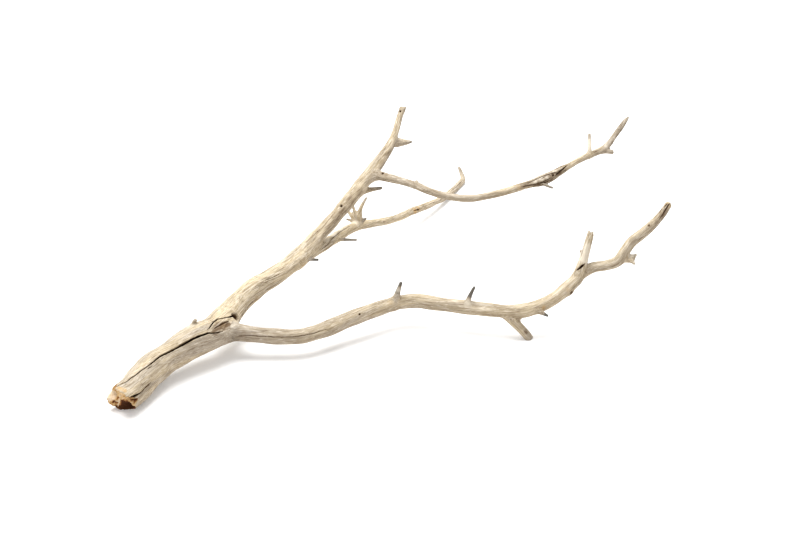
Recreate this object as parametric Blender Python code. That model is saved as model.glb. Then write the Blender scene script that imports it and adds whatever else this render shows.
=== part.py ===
"""A piece of driftwood: one bleached branch with a broken butt, a fork, two long twigs, thorns and stubs.

The model is in metres, +Z up, and lies on the floor z = 0 under the middle of its box. X runs from the
butt to the tips and Y away from the viewer. The wood touches the floor in three places: the underside
of its butt, the foot of its right limb and the elbow of its back branch.
"""

import math

import bmesh
import bpy
from mathutils import Vector

MM = 0.001

# Every limb is a route of stations from its root to its tip: x, y, z and radius, in millimetres.
MAIN_LIMB = (
    (-309, -282, 15.5, 16.2),
    (-302, -268, 16.5, 16.8),
    (-291, -244, 19.5, 16.8),
    (-276, -220, 23.5, 17),
    (-258, -204, 27.5, 16.8),
    (-239, -188, 31.5, 17),
    (-220, -172, 34, 17.3),
    (-206, -144, 38, 15),
    (-193, -116, 42, 13.2),
    (-177, -94, 47, 12.2),
    (-157, -79, 53, 11.6),
    (-139, -65, 60, 11),
    (-122, -46, 68, 10.3),
    (-105, -21, 78, 9),
    (-87, 1, 88, 8.6),
    (-54, 44, 112, 9),
    (-28, 74, 135, 7.2),
    (-15, 93, 148, 5.6),
    (-10, 105, 156, 4.4),
    (-3, 131, 171, 3.6),
    (0, 139, 178, 3.6),
)
RIGHT_LIMB = (
    (-228, -180, 32, 11),
    (-209, -170, 31, 11.8),
    (-194, -165, 30, 10.8),
    (-176, -166, 28.5, 9.8),
    (-147, -167, 26, 9.4),
    (-119, -165, 24.5, 9.2),
    (-101, -157, 25, 9.1),
    (-84, -146, 25, 9.4),
    (-58, -130, 28, 9.4),
    (-28, -112, 30, 8.3),
    (-3, -100, 31.5, 8.3),
    (19, -99, 33, 8.4),
    (38, -105, 33, 8.2),
    (59, -109, 32, 8),
    (103, -118, 32, 7.9),
    (124, -122, 32, 7.8),
    (142, -122, 33, 8.4),
    (160, -118, 36.5, 8.3),
    (178, -108, 40, 7.8),
    (205, -87, 51.5, 7.6),
    (217, -73, 57, 7.2),
    (230, -69, 61.5, 6.1),
    (245, -70, 65, 5.4),
    (258, -70, 70.5, 6),
    (266.5, -64, 80.5, 5.8),
    (275.5, -57, 89.5, 5.2),
    (288, -52, 98, 5.2),
    (302, -45, 109, 4.8),
    (314, -36, 119, 4.4),
    (322, -28, 125, 3.4),
)
LONG_TWIG = (
    (-43, 52, 121, 5),
    (-31, 54, 123, 5.9),
    (-18, 46, 124.5, 5.2),
    (-2, 36, 125, 4.5),
    (17, 27, 123, 4.3),
    (34, 14, 122, 4.3),
    (52, 4, 121, 4.2),
    (85, -3, 121, 4.1),
    (105, 2, 122, 4.2),
    (125, 10, 123, 4.2),
    (144, 17, 126, 4.5),
    (157, 22, 128, 5.1),
    (170, 26, 130, 6.4),
    (183, 32, 133, 6.3),
    (196, 41, 137, 5.5),
    (207, 51, 138, 3.8),
    (220, 61, 141, 3.5),
    (236, 71, 144, 3.7),
    (250, 78, 147, 4),
    (260, 86, 151, 3.7),
    (268, 97, 157, 3.3),
    (278, 113, 162, 3),
    (285, 123, 167, 2.3),
    (289, 129, 169, 1.5),
)
BACK_BRANCH = (
    (-126, -60, 63, 6.5),
    (-112, -37, 63, 6.8),
    (-99, -16, 61, 6.8),
    (-86, 10, 57, 6.9),
    (-70, 40, 53, 6.3),
    (-54, 65, 47, 5.8),
    (-37.5, 83, 40, 5.1),
    (-21, 99, 34.5, 4.8),
    (-4, 119, 29.5, 4.7),
    (12, 145, 24, 4.9),
    (24, 164, 19, 4.9),
    (41, 188, 14, 4.3),
    (56, 213, 9, 4.3),
    (68, 238, 5.5, 4.2),
    (79, 262, 3.6, 4.1),
    (86, 277, 6, 3.2),
    (84, 286, 11, 2.5),
    (81, 291, 17, 1.7),
)

# Short side growths, by the way they end. Each starts well inside the limb that carries it.
THORNS = {
    "fork": (
        (-15, 101, 148, 4),
        (-9, 103, 146, 5.2),
        (-3, 104, 146, 4.3),
        (5, 102, 147, 2.7),
        (11, 99, 149, 1.2),
    ),
    "low": (
        (-66, 36, 99, 5),
        (-59, 43, 101, 5),
        (-50, 52, 103, 3.8),
        (-40, 54, 104, 2.5),
        (-26, 56, 105, 1.5),
    ),
    "little": (
        (-131, -50, 62, 2.6),
        (-125, -47, 59, 2.4),
        (-115, -44, 57, 2),
        (-109, -42, 56, 1.5),
        (-103, -39, 55, 1.1),
    ),
    "first": (
        (-12, -102, 28, 6),
        (-10, -103, 32, 5.4),
        (-7, -103, 41, 3.9),
        (-5, -102, 49, 2.1),
        (-2, -100, 58, 1.2),
    ),
    "second": (
        (75, -113, 31, 5),
        (77, -113, 34, 4.8),
        (78, -113, 42, 3),
        (81, -110, 49, 1.7),
        (85, -108, 57, 0.9),
    ),
    "under": (
        (149, -119, 34, 3.5),
        (156, -123, 35, 4.6),
        (164, -127, 33.5, 3),
        (171, -130, 31, 1.5),
    ),
    "up_side": ((220, -68, 76, 2.6), (218, -69, 78, 2.4), (214, -63, 81, 1.3)),
    "upper_prong": ((271, -65, 72, 3), (276, -64, 72, 2.2), (281, -63, 73, 1.1)),
    "lower_prong": ((270, -66, 71, 3), (275, -69, 71, 2.2), (278, -74, 70, 1.1)),
    "far_up": (
        (236, 70, 141, 3),
        (235, 70, 145, 2.8),
        (235, 72, 152, 1.8),
        (235, 78, 159, 1.4),
        (235, 84, 166, 1.1),
    ),
    "gouge": ((168, 26, 131, 3), (172, 25, 129, 2.5), (176, 24, 127, 1.7), (184, 24, 123, 1)),
    "back_right": (
        (-90, 5, 57, 3.2),
        (-85, 9, 57, 3.1),
        (-78, 11, 57, 2.1),
        (-68, 8, 58, 1.3),
        (-57, 4, 59, 0.9),
    ),
    "fan_left": ((-58, 61, 53, 3), (-59, 62, 57, 3.1), (-63, 65, 65, 1.9), (-68, 68, 71, 1)),
    "fan_middle": ((-58, 61, 52, 3), (-58, 62, 57, 3.5), (-60, 65, 67, 2.3), (-62, 68, 75, 1.2)),
    "fan_right": (
        (-57, 61, 52, 3),
        (-56, 62, 57, 3.6),
        (-54, 64, 69, 2.2),
        (-50, 66, 78, 1.4),
        (-46, 67, 85, 0.9),
    ),
    "fan_low": ((-57, 62, 52, 3.2), (-59, 63, 53, 2.6), (-66, 64, 54, 1.4), (-71, 66, 55, 0.9)),
    "wart": ((16, 25, 123, 3), (17, 27, 126, 2.5), (18, 31, 129, 1.1)),
}
STUBS = {
    "rear": (
        (-248, -178, 28, 5),
        (-247, -177, 34, 4),
        (-243, -177, 46, 2.7),
        (-239, -177, 52, 2.1),
    ),
    "up": (
        (208, -85, 51, 4),
        (211, -81, 58, 5.4),
        (215, -75, 67, 5),
        (219, -67, 78, 4.1),
        (223, -58, 89, 3.8),
        (226, -51, 97, 3.3),
    ),
    "fish_tail": (
        (255, -70, 69, 3.6),
        (260, -68, 71, 4.6),
        (268, -65, 72, 4.2),
        (275, -65, 72, 4),
        (278, -67, 72, 3.4),
    ),
    "far_end": ((246, 76, 146, 2.2), (250, 77, 146, 2.8), (258, 79, 145, 2.6), (266, 81, 143, 2.4)),
    "fan_root": ((-60, 56, 47, 3), (-58, 60, 51, 4.8), (-57, 62, 55, 4.6), (-57, 63, 60, 3.4)),
    "foot": (
        (124, -120, 32, 4.5),
        (127, -125, 27, 6),
        (133, -129, 21, 5.8),
        (141, -130, 12.5, 5.3),
        (148, -131, 4, 5.1),
        (151, -131, -1, 5),
    ),
}

MAIN_SIDES = 20
RIGHT_SIDES = 14
TWIG_SIDES = 10
STUB_SIDES = 7
RING_STEP = 1.4  # distance between rings, in radii
SHORTEST_STEP = 5.0  # and in millimetres
LONGEST_STEP = 11.0
SEED_TURN = 2.4  # phase step in radians that makes the ridges of every limb its own

# The ridges of weathered wood: waves round the limb, share of the radius, turns along RIDGE_LENGTH.
RIDGES = (
    (2, 0.035, 0.12),
    (3, 0.03, -0.2),
    (5, 0.025, 0.3),
)
RIDGE_LENGTH = 100.0
WAVES = ((61.0, 0.025), (34.0, 0.02))  # swellings along a limb: length, share of the radius
STEEP = 0.8  # a limb whose start points up more than this takes its top side from +Y

# Cracks run along a limb: its name, then spots of distance from its root, degrees round from its top towards
# its right side, half width and depth, in millimetres.
CRACKS = {
    "main_crack": (
        "main",
        (-6, -12, 1.0, 6),
        (10, 3, 0.8, 5),
        (33, 17, 0.8, 6),
        (55, 27, 0.9, 7),
        (77, 30, 1.1, 8),
        (103, 36, 1.5, 9),
        (120, 39, 1.3, 8),
        (134, 45, 0.9, 6),
        (148, 68, 0.4, 3),
    ),
    "knot_crack": (
        "main",
        (129, 32, 0.4, 2),
        (136, 24, 0.9, 4),
        (143, 18, 1.0, 5),
        (152, 21, 0.9, 5),
        (160, 38, 0.9, 4),
        (167, 54, 1.0, 4),
        (174, 68, 1.4, 4),
    ),
    "butt_crack": (
        "main",
        (-6, 60, 2.4, 7),
        (4, 63, 1.6, 5),
        (13, 69, 0.9, 4),
        (27, 69, 0.6, 3),
        (36, 75, 0.3, 1.5),
    ),
    "right_check": (
        "right",
        (38, 80, 0.3, 1),
        (55, 72, 0.7, 1.8),
        (69, 69, 0.7, 1.8),
        (92, 63, 0.6, 1.6),
        (113, 54, 0.6, 1.6),
        (127, 57, 0.7, 1.8),
        (145, 57, 0.3, 1),
    ),
    "stub_gap": (
        "up",
        (11, 118, 0.5, 1.5),
        (15, 140, 1.3, 3.2),
        (20, 172, 1.4, 3.2),
        (25, 206, 0.5, 1.5),
    ),
    "back_crease": (
        "back",
        (30, 80, 0.3, 1),
        (51, 69, 0.8, 1.8),
        (70, 36, 0.8, 1.8),
        (93, 22, 0.8, 1.6),
        (111, 24, 0.7, 1.5),
        (126, 21, 0.3, 1),
    ),
    "hook_crease": (
        "back",
        (356, 34, 0.3, 0.8),
        (372, 32, 0.7, 1.3),
        (390, 27, 0.7, 1.2),
        (402, 22, 0.3, 0.6),
    ),
    "front_gouge": (
        "long",
        (212, 74, 0.4, 1),
        (223, 62, 1.0, 2.4),
        (236, 50, 1.3, 3),
        (250, 42, 1.0, 2.6),
        (262, 38, 0.4, 1),
    ),
    "top_gouge": (
        "long",
        (243, 20, 0.4, 1),
        (254, 26, 1.1, 2.6),
        (264, 36, 1.2, 2.6),
        (276, 48, 0.4, 1),
    ),
}

# Small holes: the limb, distance from its root, degrees round from its top, radius and depth in millimetres.
PITS = {
    "crotch_hole": ("main", 175, 70, 2.2, 5),
    "worm_hole": ("main", 394, 14, 1.4, 4),
    "twig_hole": ("long", 21, 5, 1.4, 3),
    "tip_hole": ("main", 555, 10, 1.0, 2),
    "branch_hole": ("back", 261, 66, 1.1, 2),
}

# Grown-over knots: the limb, distance from its root, degrees round from its top, radius, stretch along it
# and how far the lump stands out.
KNOTS = {
    "fork_knot": ("main", 155, 56, 6.5, 1.6, 1.6),
    "collar_knot": ("right", 34, 20, 6.5, 1.2, 1.2),
    "corner_knot": ("right", 457, 128, 4.5, 1.3, 1.6),
    "bend_knot": ("right", 591, 45, 3.2, 1.4, 0.6),
}
CUTTER_LIFT = 1.5  # how far cutters start over the surface
PIT_SIDES = 7

# The broken butt: how far its edge sticks out along the limb, in millimetres, by degrees from the top.
BUTT_EDGE = (
    (0, -3),
    (35, -4),
    (60, -7),
    (90, 0),
    (135, 1),
    (180, 1),
    (225, 3),
    (270, 5),
    (315, 1),
    (360, -3),
)
BUTT_STEPS = ((0.74, 4.0), (0.4, 7.0))  # rings inside the edge: share of the radius, depth
BUTT_SPLINTERS = ((7, 1.3, 1.0), (11, 1.3, 0.0))  # waves round the edge: count, height, phase

BREAK_DEPTH = 0.25  # how ragged a stub's broken end is, in radii
BREAK_RIM = 0.9  # its rim's share of the radius
BREAK_TEETH = ((3, 1.0), (5, 0.6))  # waves round the rim: count and share of the depth
POINT_LENGTH = 1.2  # a thorn's tip past its last station, in radii

FLOOR_CUT = 60 * MM
WOOD_COLOUR = (0.62, 0.52, 0.39, 1.0)
WOOD_ROUGHNESS = 0.75
SHARP_ANGLE = math.radians(38)


class Limb:
    """One limb's rings: centre and radius, distance from the root, and the turning frame at each."""

    def __init__(self, stations, sides, number):
        self.sides = sides
        self.phase = number * SEED_TURN
        self.places = follow(stations)
        self.distances = [0.0]
        for before, here in zip(self.places, self.places[1:]):
            self.distances.append(self.distances[-1] + (here - before).xyz.length)
        self.frames = turning_frames(self.places)

    def at(self, distance):
        """Centre, radius, direction, top and right side of the limb at a distance from its root."""
        last = len(self.places) - 2
        i = next((k for k in range(last) if self.distances[k + 1] > distance), last)
        share = (distance - self.distances[i]) / (self.distances[i + 1] - self.distances[i])
        place = self.places[i].lerp(self.places[i + 1], share)
        pairs = zip(self.frames[i], self.frames[i + 1])
        along, up, side = (before.lerp(after, share).normalized() for before, after in pairs)
        return place.xyz, place.w, along, up, side

    def surface(self, distance, angle, height):
        """A place over the limb's surface, `angle` radians from its top towards its right side."""
        centre, radius, _, up, side = self.at(distance)
        reach = radius * self.ridge(angle, distance) + height
        return centre + reach * (math.cos(angle) * up + math.sin(angle) * side)

    def ridge(self, angle, distance):
        """How far the wood stands out there, as a share of the radius."""
        share = 1.0
        for waves, amount, turns in RIDGES:
            turned = angle + turns * math.tau * distance / RIDGE_LENGTH + self.phase
            share += amount * math.cos(waves * turned)
        for length, amount in WAVES:
            share += amount * math.sin(math.tau * distance / length + self.phase)
        return share


def follow(stations):
    """A smooth curve through the stations, as 4D vectors of place and radius at each ring."""
    knots = [Vector(station) for station in stations]
    gaps = [(after - before).xyz.length for before, after in zip(knots, knots[1:])]
    chords = [(after - before) / gap for before, after, gap in zip(knots, knots[1:], gaps)]
    slopes = [chords[0]]
    for i in range(1, len(chords)):
        slopes.append((chords[i - 1] * gaps[i] + chords[i] * gaps[i - 1]) / (gaps[i - 1] + gaps[i]))
    slopes.append(chords[-1])
    places = []
    for i, gap in enumerate(gaps):
        step = RING_STEP * (knots[i].w + knots[i + 1].w) / 2
        count = max(1, round(gap / min(max(step, SHORTEST_STEP), LONGEST_STEP)))
        for k in range(count):
            t = k / count
            start = knots[i] * (1 - t) ** 2 * (1 + 2 * t) + slopes[i] * gap * t * (1 - t) ** 2
            end = knots[i + 1] * t**2 * (3 - 2 * t) - slopes[i + 1] * gap * t**2 * (1 - t)
            places.append(start + end)
    places.append(knots[-1])
    return places


def turning_frames(places):
    """Direction, top and right side at each place, turned along the curve without a twist."""
    last = len(places) - 1
    frames = []
    up = None
    for i in range(len(places)):
        along = (places[min(i + 1, last)] - places[max(i - 1, 0)]).xyz.normalized()
        if up is None:
            up = Vector((0, 0, 1)) if abs(along.z) < STEEP else Vector((0, 1, 0))
        up = (up - up.dot(along) * along).normalized()
        frames.append((along, up, along.cross(up)))
    return frames


def between(table, angle):
    """A value of a table of (degrees, value) rows at an angle in radians."""
    degrees = math.degrees(angle) % 360
    for (start, low), (end, high) in zip(table, table[1:]):
        if start <= degrees <= end:
            return low + (high - low) * (degrees - start) / (end - start)
    return table[-1][1]


def add_ring(mesh, limb, i, scale=1.0, shift=None):
    """A ring of vertices at the limb's place `i`, scaled, and shifted along it by the angle."""
    place = limb.places[i]
    along, up, side = limb.frames[i]
    ring = []
    for k in range(limb.sides):
        angle = math.tau * k / limb.sides
        reach = place.w * scale * limb.ridge(angle, limb.distances[i])
        spot = place.xyz + reach * (math.cos(angle) * up + math.sin(angle) * side)
        if shift:
            spot += shift(angle) * along
        ring.append(mesh.verts.new(spot * MM))
    return ring


def join_rings(mesh, lower, upper):
    for k in range(len(lower)):
        after = (k + 1) % len(lower)
        mesh.faces.new((lower[k], lower[after], upper[after], upper[k]))


def close_ring(mesh, ring, spot):
    """Closes a ring to one point past it."""
    tip = mesh.verts.new(spot * MM)
    for k in range(len(ring)):
        mesh.faces.new((ring[k], ring[(k + 1) % len(ring)], tip))


def close_root(mesh, ring):
    mesh.faces.new(list(reversed(ring)))


def butt_edge(angle):
    """The ragged edge of the butt; outwards is against the limb's direction."""
    splinters = sum(height * math.sin(count * angle + phase) for count, height, phase in BUTT_SPLINTERS)
    return -between(BUTT_EDGE, angle) - splinters


def close_butt(mesh, limb, first_ring):
    """Turns the butt's end inwards by rings that lie deeper and deeper, down to a hollow in its middle."""
    outer = first_ring
    for share, depth in BUTT_STEPS:

        def hollow(angle):
            return butt_edge(angle) * share + depth

        inner = add_ring(mesh, limb, 0, share, hollow)
        join_rings(mesh, inner, outer)
        outer = inner
    centre = limb.places[0].xyz + limb.frames[0][0] * BUTT_STEPS[-1][1]
    tip = mesh.verts.new(centre * MM)
    for k in range(len(outer)):
        mesh.faces.new((outer[(k + 1) % len(outer)], outer[k], tip))


def close_broken(mesh, limb):
    """A short snapped end: a ragged rim round a shallow hollow."""
    radius = limb.places[-1].w
    last = len(limb.places) - 1

    def rim(angle):
        teeth = sum(share * math.sin(count * angle + limb.phase) for count, share in BREAK_TEETH)
        return radius * BREAK_DEPTH * (1 + teeth)

    ragged = add_ring(mesh, limb, last, BREAK_RIM, rim)
    centre = limb.places[-1].xyz + limb.frames[-1][0] * radius * BREAK_DEPTH / 2
    return ragged, centre


def limb_object(name, limb, collection, butt=False, broken=False):
    """The closed mesh of one limb."""
    mesh = bmesh.new()
    rings = [add_ring(mesh, limb, 0, 1.0, butt_edge if butt else None)]
    for i in range(1, len(limb.places)):
        rings.append(add_ring(mesh, limb, i))
        join_rings(mesh, rings[-2], rings[-1])
    if butt:
        close_butt(mesh, limb, rings[0])
    else:
        close_root(mesh, rings[0])
    if broken:
        ragged, centre = close_broken(mesh, limb)
        join_rings(mesh, rings[-1], ragged)
        close_ring(mesh, ragged, centre)
    else:
        tip = limb.places[-1].xyz + limb.frames[-1][0] * limb.places[-1].w * POINT_LENGTH
        close_ring(mesh, rings[-1], tip)
    return mesh_object(name, mesh, collection)


def crack_object(name, limb, spots, collection):
    """A wedge that follows the limb's surface, its edge `depth` deep in the wood."""
    rows = []
    for row, after in zip(spots, spots[1:]):
        count = math.ceil((after[0] - row[0]) / LONGEST_STEP)
        rows += [Vector(row).lerp(Vector(after), k / count) for k in range(count)]
    rows.append(Vector(spots[-1]))
    path = [limb.surface(row[0], math.radians(row[1]), CUTTER_LIFT) for row in rows]
    mesh = bmesh.new()
    rings = []
    for i, (distance, degrees, half_width, depth) in enumerate(rows):
        floor = limb.surface(distance, math.radians(degrees), -depth)
        ahead = path[min(i + 1, len(path) - 1)] - path[max(i - 1, 0)]
        across = ahead.cross(path[i] - floor).normalized() * half_width * (depth + CUTTER_LIFT) / depth
        corners = (path[i] - across, path[i] + across, floor)
        rings.append([mesh.verts.new(spot * MM) for spot in corners])
    for lower, upper in zip(rings, rings[1:]):
        join_rings(mesh, lower, upper)
    mesh.faces.new(rings[0])
    mesh.faces.new(rings[-1])
    return mesh_object(name, mesh, collection)


def pit_object(name, limb, distance, degrees, radius, depth, collection):
    """A cone that points into the wood."""
    mesh = bmesh.new()
    angle = math.radians(degrees)
    _, _, along, up, side = limb.at(distance)
    across = math.cos(angle) * side - math.sin(angle) * up
    over = limb.surface(distance, angle, CUTTER_LIFT)
    reach = radius * (depth + CUTTER_LIFT) / depth
    ring = []
    for k in range(PIT_SIDES):
        turn = math.tau * k / PIT_SIDES
        spot = over + reach * (math.cos(turn) * across + math.sin(turn) * along)
        ring.append(mesh.verts.new(spot * MM))
    close_ring(mesh, ring, limb.surface(distance, angle, -depth))
    mesh.faces.new(ring)
    return mesh_object(name, mesh, collection)


def knot_object(name, limb, distance, degrees, radius, stretch, height, collection):
    """A smooth lump, most of it sunk in the wood."""
    mesh = bmesh.new()
    bmesh.ops.create_icosphere(mesh, subdivisions=2, radius=radius)
    angle = math.radians(degrees)
    _, _, along, up, side = limb.at(distance)
    outward = math.cos(angle) * up + math.sin(angle) * side
    across = math.cos(angle) * side - math.sin(angle) * up
    middle = limb.surface(distance, angle, height - radius)
    for vertex in mesh.verts:
        spot = vertex.co.x * stretch * along + vertex.co.y * across + vertex.co.z * outward
        vertex.co = (middle + spot) * MM
    return mesh_object(name, mesh, collection)


def mesh_object(name, mesh, collection):
    bmesh.ops.recalc_face_normals(mesh, faces=mesh.faces)
    data = bpy.data.meshes.new(name)
    mesh.to_mesh(data)
    mesh.free()
    thing = bpy.data.objects.new(name, data)
    collection.objects.link(thing)
    return thing


def floor_cutter(collection):
    """A block under the floor, which flattens the three spots that the wood rests on."""
    mesh = bmesh.new()
    bmesh.ops.create_cube(mesh, size=1.0)
    for vertex in mesh.verts:
        vertex.co.z = vertex.co.z * FLOOR_CUT - FLOOR_CUT / 2
    return mesh_object("floor_cutter", mesh, collection)


def apply_boolean(thing, collection, operation):
    """Applies one Boolean of a whole collection, and removes the collection's objects."""
    modifier = thing.modifiers.new(operation.lower(), "BOOLEAN")
    modifier.operation = operation
    modifier.operand_type = "COLLECTION"
    modifier.collection = collection
    modifier.solver = "EXACT"
    evaluated = thing.evaluated_get(bpy.context.evaluated_depsgraph_get())
    result = bpy.data.meshes.new_from_object(evaluated)
    thing.modifiers.clear()
    thing.data = result
    for helper in list(collection.objects):
        bpy.data.objects.remove(helper, do_unlink=True)
    bpy.data.collections.remove(collection)


def wood_material():
    material = bpy.data.materials.new("wood")
    material.use_nodes = True
    shader = material.node_tree.nodes["Principled BSDF"]
    shader.inputs["Base Color"].default_value = WOOD_COLOUR
    shader.inputs["Roughness"].default_value = WOOD_ROUGHNESS
    shader.inputs["Metallic"].default_value = 0.0
    return material


def new_collection(name):
    collection = bpy.data.collections.new(name)
    bpy.context.scene.collection.children.link(collection)
    return collection


def all_limbs():
    """Every limb by name, with its sides and its own number for the ridges."""
    limbs = {
        "main": Limb(MAIN_LIMB, MAIN_SIDES, 1),
        "right": Limb(RIGHT_LIMB, RIGHT_SIDES, 2),
        "long": Limb(LONG_TWIG, TWIG_SIDES, 3),
        "back": Limb(BACK_BRANCH, TWIG_SIDES, 4),
    }
    for number, (name, stations) in enumerate({**THORNS, **STUBS}.items(), start=5):
        limbs[name] = Limb(stations, STUB_SIDES, number)
    return limbs


def build():
    for thing in list(bpy.data.objects):
        bpy.data.objects.remove(thing, do_unlink=True)
    limbs = all_limbs()
    joined = new_collection("joined")
    wood = limb_object("driftwood", limbs["main"], bpy.context.scene.collection, butt=True, broken=True)
    for name, limb in limbs.items():
        if name != "main":
            limb_object(name, limb, joined, broken=name in STUBS)
    for name, (carrier, *place) in KNOTS.items():
        knot_object(name, limbs[carrier], *place, joined)
    apply_boolean(wood, joined, "UNION")
    cutters = new_collection("cutters")
    for name, (carrier, *spots) in CRACKS.items():
        crack_object(name, limbs[carrier], spots, cutters)
    for name, (carrier, *place) in PITS.items():
        pit_object(name, limbs[carrier], *place, cutters)
    floor_cutter(cutters)
    apply_boolean(wood, cutters, "DIFFERENCE")
    wood.data.materials.clear()
    wood.data.materials.append(wood_material())
    wood.data.shade_smooth()
    wood.data.set_sharp_from_angle(angle=SHARP_ANGLE)


build()
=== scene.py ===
"""The looks of the piece of driftwood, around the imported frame.

The wood is one fine mesh. Rough tubes along the same routes as the frame's limbs are remeshed as one
skin, which is drawn onto a smooth field of those limbs, cut finer along its cracks and then carved:
grain ridges, cracks, worm holes, knots and the torn butt. Every vertex keeps its place along and across
its limb, so the shader's grain runs along the wood. Lengths are in millimetres until the mesh is done.
"""

import itertools
import math

import bmesh
import bpy
import numpy as np
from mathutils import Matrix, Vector

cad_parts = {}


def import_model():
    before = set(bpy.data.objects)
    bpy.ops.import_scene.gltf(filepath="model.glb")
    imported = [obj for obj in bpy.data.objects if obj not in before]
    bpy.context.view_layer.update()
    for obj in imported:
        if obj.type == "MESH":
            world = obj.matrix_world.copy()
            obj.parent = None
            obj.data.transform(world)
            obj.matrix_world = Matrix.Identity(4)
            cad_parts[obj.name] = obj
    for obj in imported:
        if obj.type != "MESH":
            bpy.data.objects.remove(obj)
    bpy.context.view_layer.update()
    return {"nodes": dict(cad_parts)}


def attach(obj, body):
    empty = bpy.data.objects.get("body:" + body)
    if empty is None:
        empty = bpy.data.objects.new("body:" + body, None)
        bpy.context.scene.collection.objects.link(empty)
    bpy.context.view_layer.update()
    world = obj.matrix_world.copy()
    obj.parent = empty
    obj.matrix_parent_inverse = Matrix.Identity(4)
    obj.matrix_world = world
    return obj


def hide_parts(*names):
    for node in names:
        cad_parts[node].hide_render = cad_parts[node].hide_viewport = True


MM = 0.001

# Every limb is a route of stations from its root to its tip, as in the frame: x, y, z and radius.
MAIN_LIMB = (
    (-310, -282, 16.4, 17.4), (-302, -269.5, 17.6, 18.2), (-291, -246.5, 20.4, 18.4),
    (-276.5, -222.2, 24.2, 17.9), (-258.2, -204.5, 28.1, 17.3), (-240, -187.6, 31.8, 18.1),
    (-220.5, -171.5, 34.3, 17.7), (-206, -144, 38, 15), (-193, -116, 42, 13.2), (-177, -94, 47, 12.2),
    (-157, -79, 53, 11.6), (-139, -65, 60, 11), (-122, -46, 68, 10.3), (-105, -21, 78, 9),
    (-87, 1, 88, 8.6), (-54, 44, 112, 9), (-28, 74, 135, 7.55), (-15, 93, 148, 5.95), (-10, 105, 156, 4.75),
    (-3, 131, 171, 3.95), (0, 139, 178, 3.95),
)
RIGHT_LIMB = (
    (-228, -180, 32, 11), (-209, -170, 31, 11.8), (-194, -165, 30, 10.8), (-176, -166, 28.5, 9.8),
    (-147, -167, 26, 9.4), (-119, -165, 24.5, 9.2), (-101, -157, 25, 9.1), (-84, -146, 25, 9.4),
    (-58, -130, 28, 9.4), (-28, -112, 30, 8.3), (-3, -100, 31.5, 8.3), (19, -99, 33, 8.4),
    (38, -105, 33, 8.2), (59, -109, 32, 8), (103, -118, 32, 7.9), (124, -122, 32, 7.8),
    (142, -122, 33, 8.4), (160, -118, 36.5, 8.3), (178, -108, 40, 7.8), (205, -87, 51.5, 7.6),
    (217, -73, 57, 7.6), (230, -69, 61.5, 6.8), (245, -70, 65, 6.2), (258, -70, 70.5, 6.6),
    (266.5, -64, 80.5, 7), (275, -57, 89.5, 6.6), (287.5, -52, 98, 6.3), (302, -45, 109, 5.7),
    (314, -36, 119, 5.1), (320.5, -28.5, 124.5, 4.4),
)
LONG_TWIG = (
    (-43, 52, 121, 5), (-31, 54, 123, 5.9), (-18, 46, 124.5, 5.55), (-2, 36, 125, 4.85),
    (17, 27, 123, 4.65), (34, 14, 122, 4.65), (52, 4, 121, 4.55), (85, -3, 121, 4.45), (105, 2, 122, 4.55),
    (125, 10, 123, 4.55), (144, 17, 126, 4.85), (157, 22, 128, 5.1), (170, 26, 130, 6.4),
    (183, 32, 133, 6.3), (196, 41, 137, 5.5), (207, 51, 138, 4.1), (220, 61, 141, 3.8), (236, 71, 144, 4),
    (250, 78, 147, 4.3), (260, 86, 151, 4), (268, 97, 157, 3.6), (278, 113, 162, 3.4), (285, 123, 167, 2.7),
    (289, 129, 169, 1.5),
)
BACK_BRANCH = (
    (-126, -60, 63, 6.5), (-112, -37, 63, 6.8), (-99, -16, 61, 6.8), (-86, 10, 57, 6.9), (-70, 40, 53, 6.3),
    (-54, 65, 47, 6.1), (-37.5, 83, 40, 5.4), (-21, 99, 34.5, 5.1), (-4, 119, 29.5, 5), (12, 145, 24, 5.2),
    (24, 164, 19, 5.2), (41, 188, 14, 4.6), (56, 213, 9, 4.6), (68, 238, 5.5, 4.5), (79, 262, 3.6, 4.4),
    (86, 277, 6, 3.7), (84, 286, 11, 2.9), (81, 290.6, 17, 2.1),
)

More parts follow.
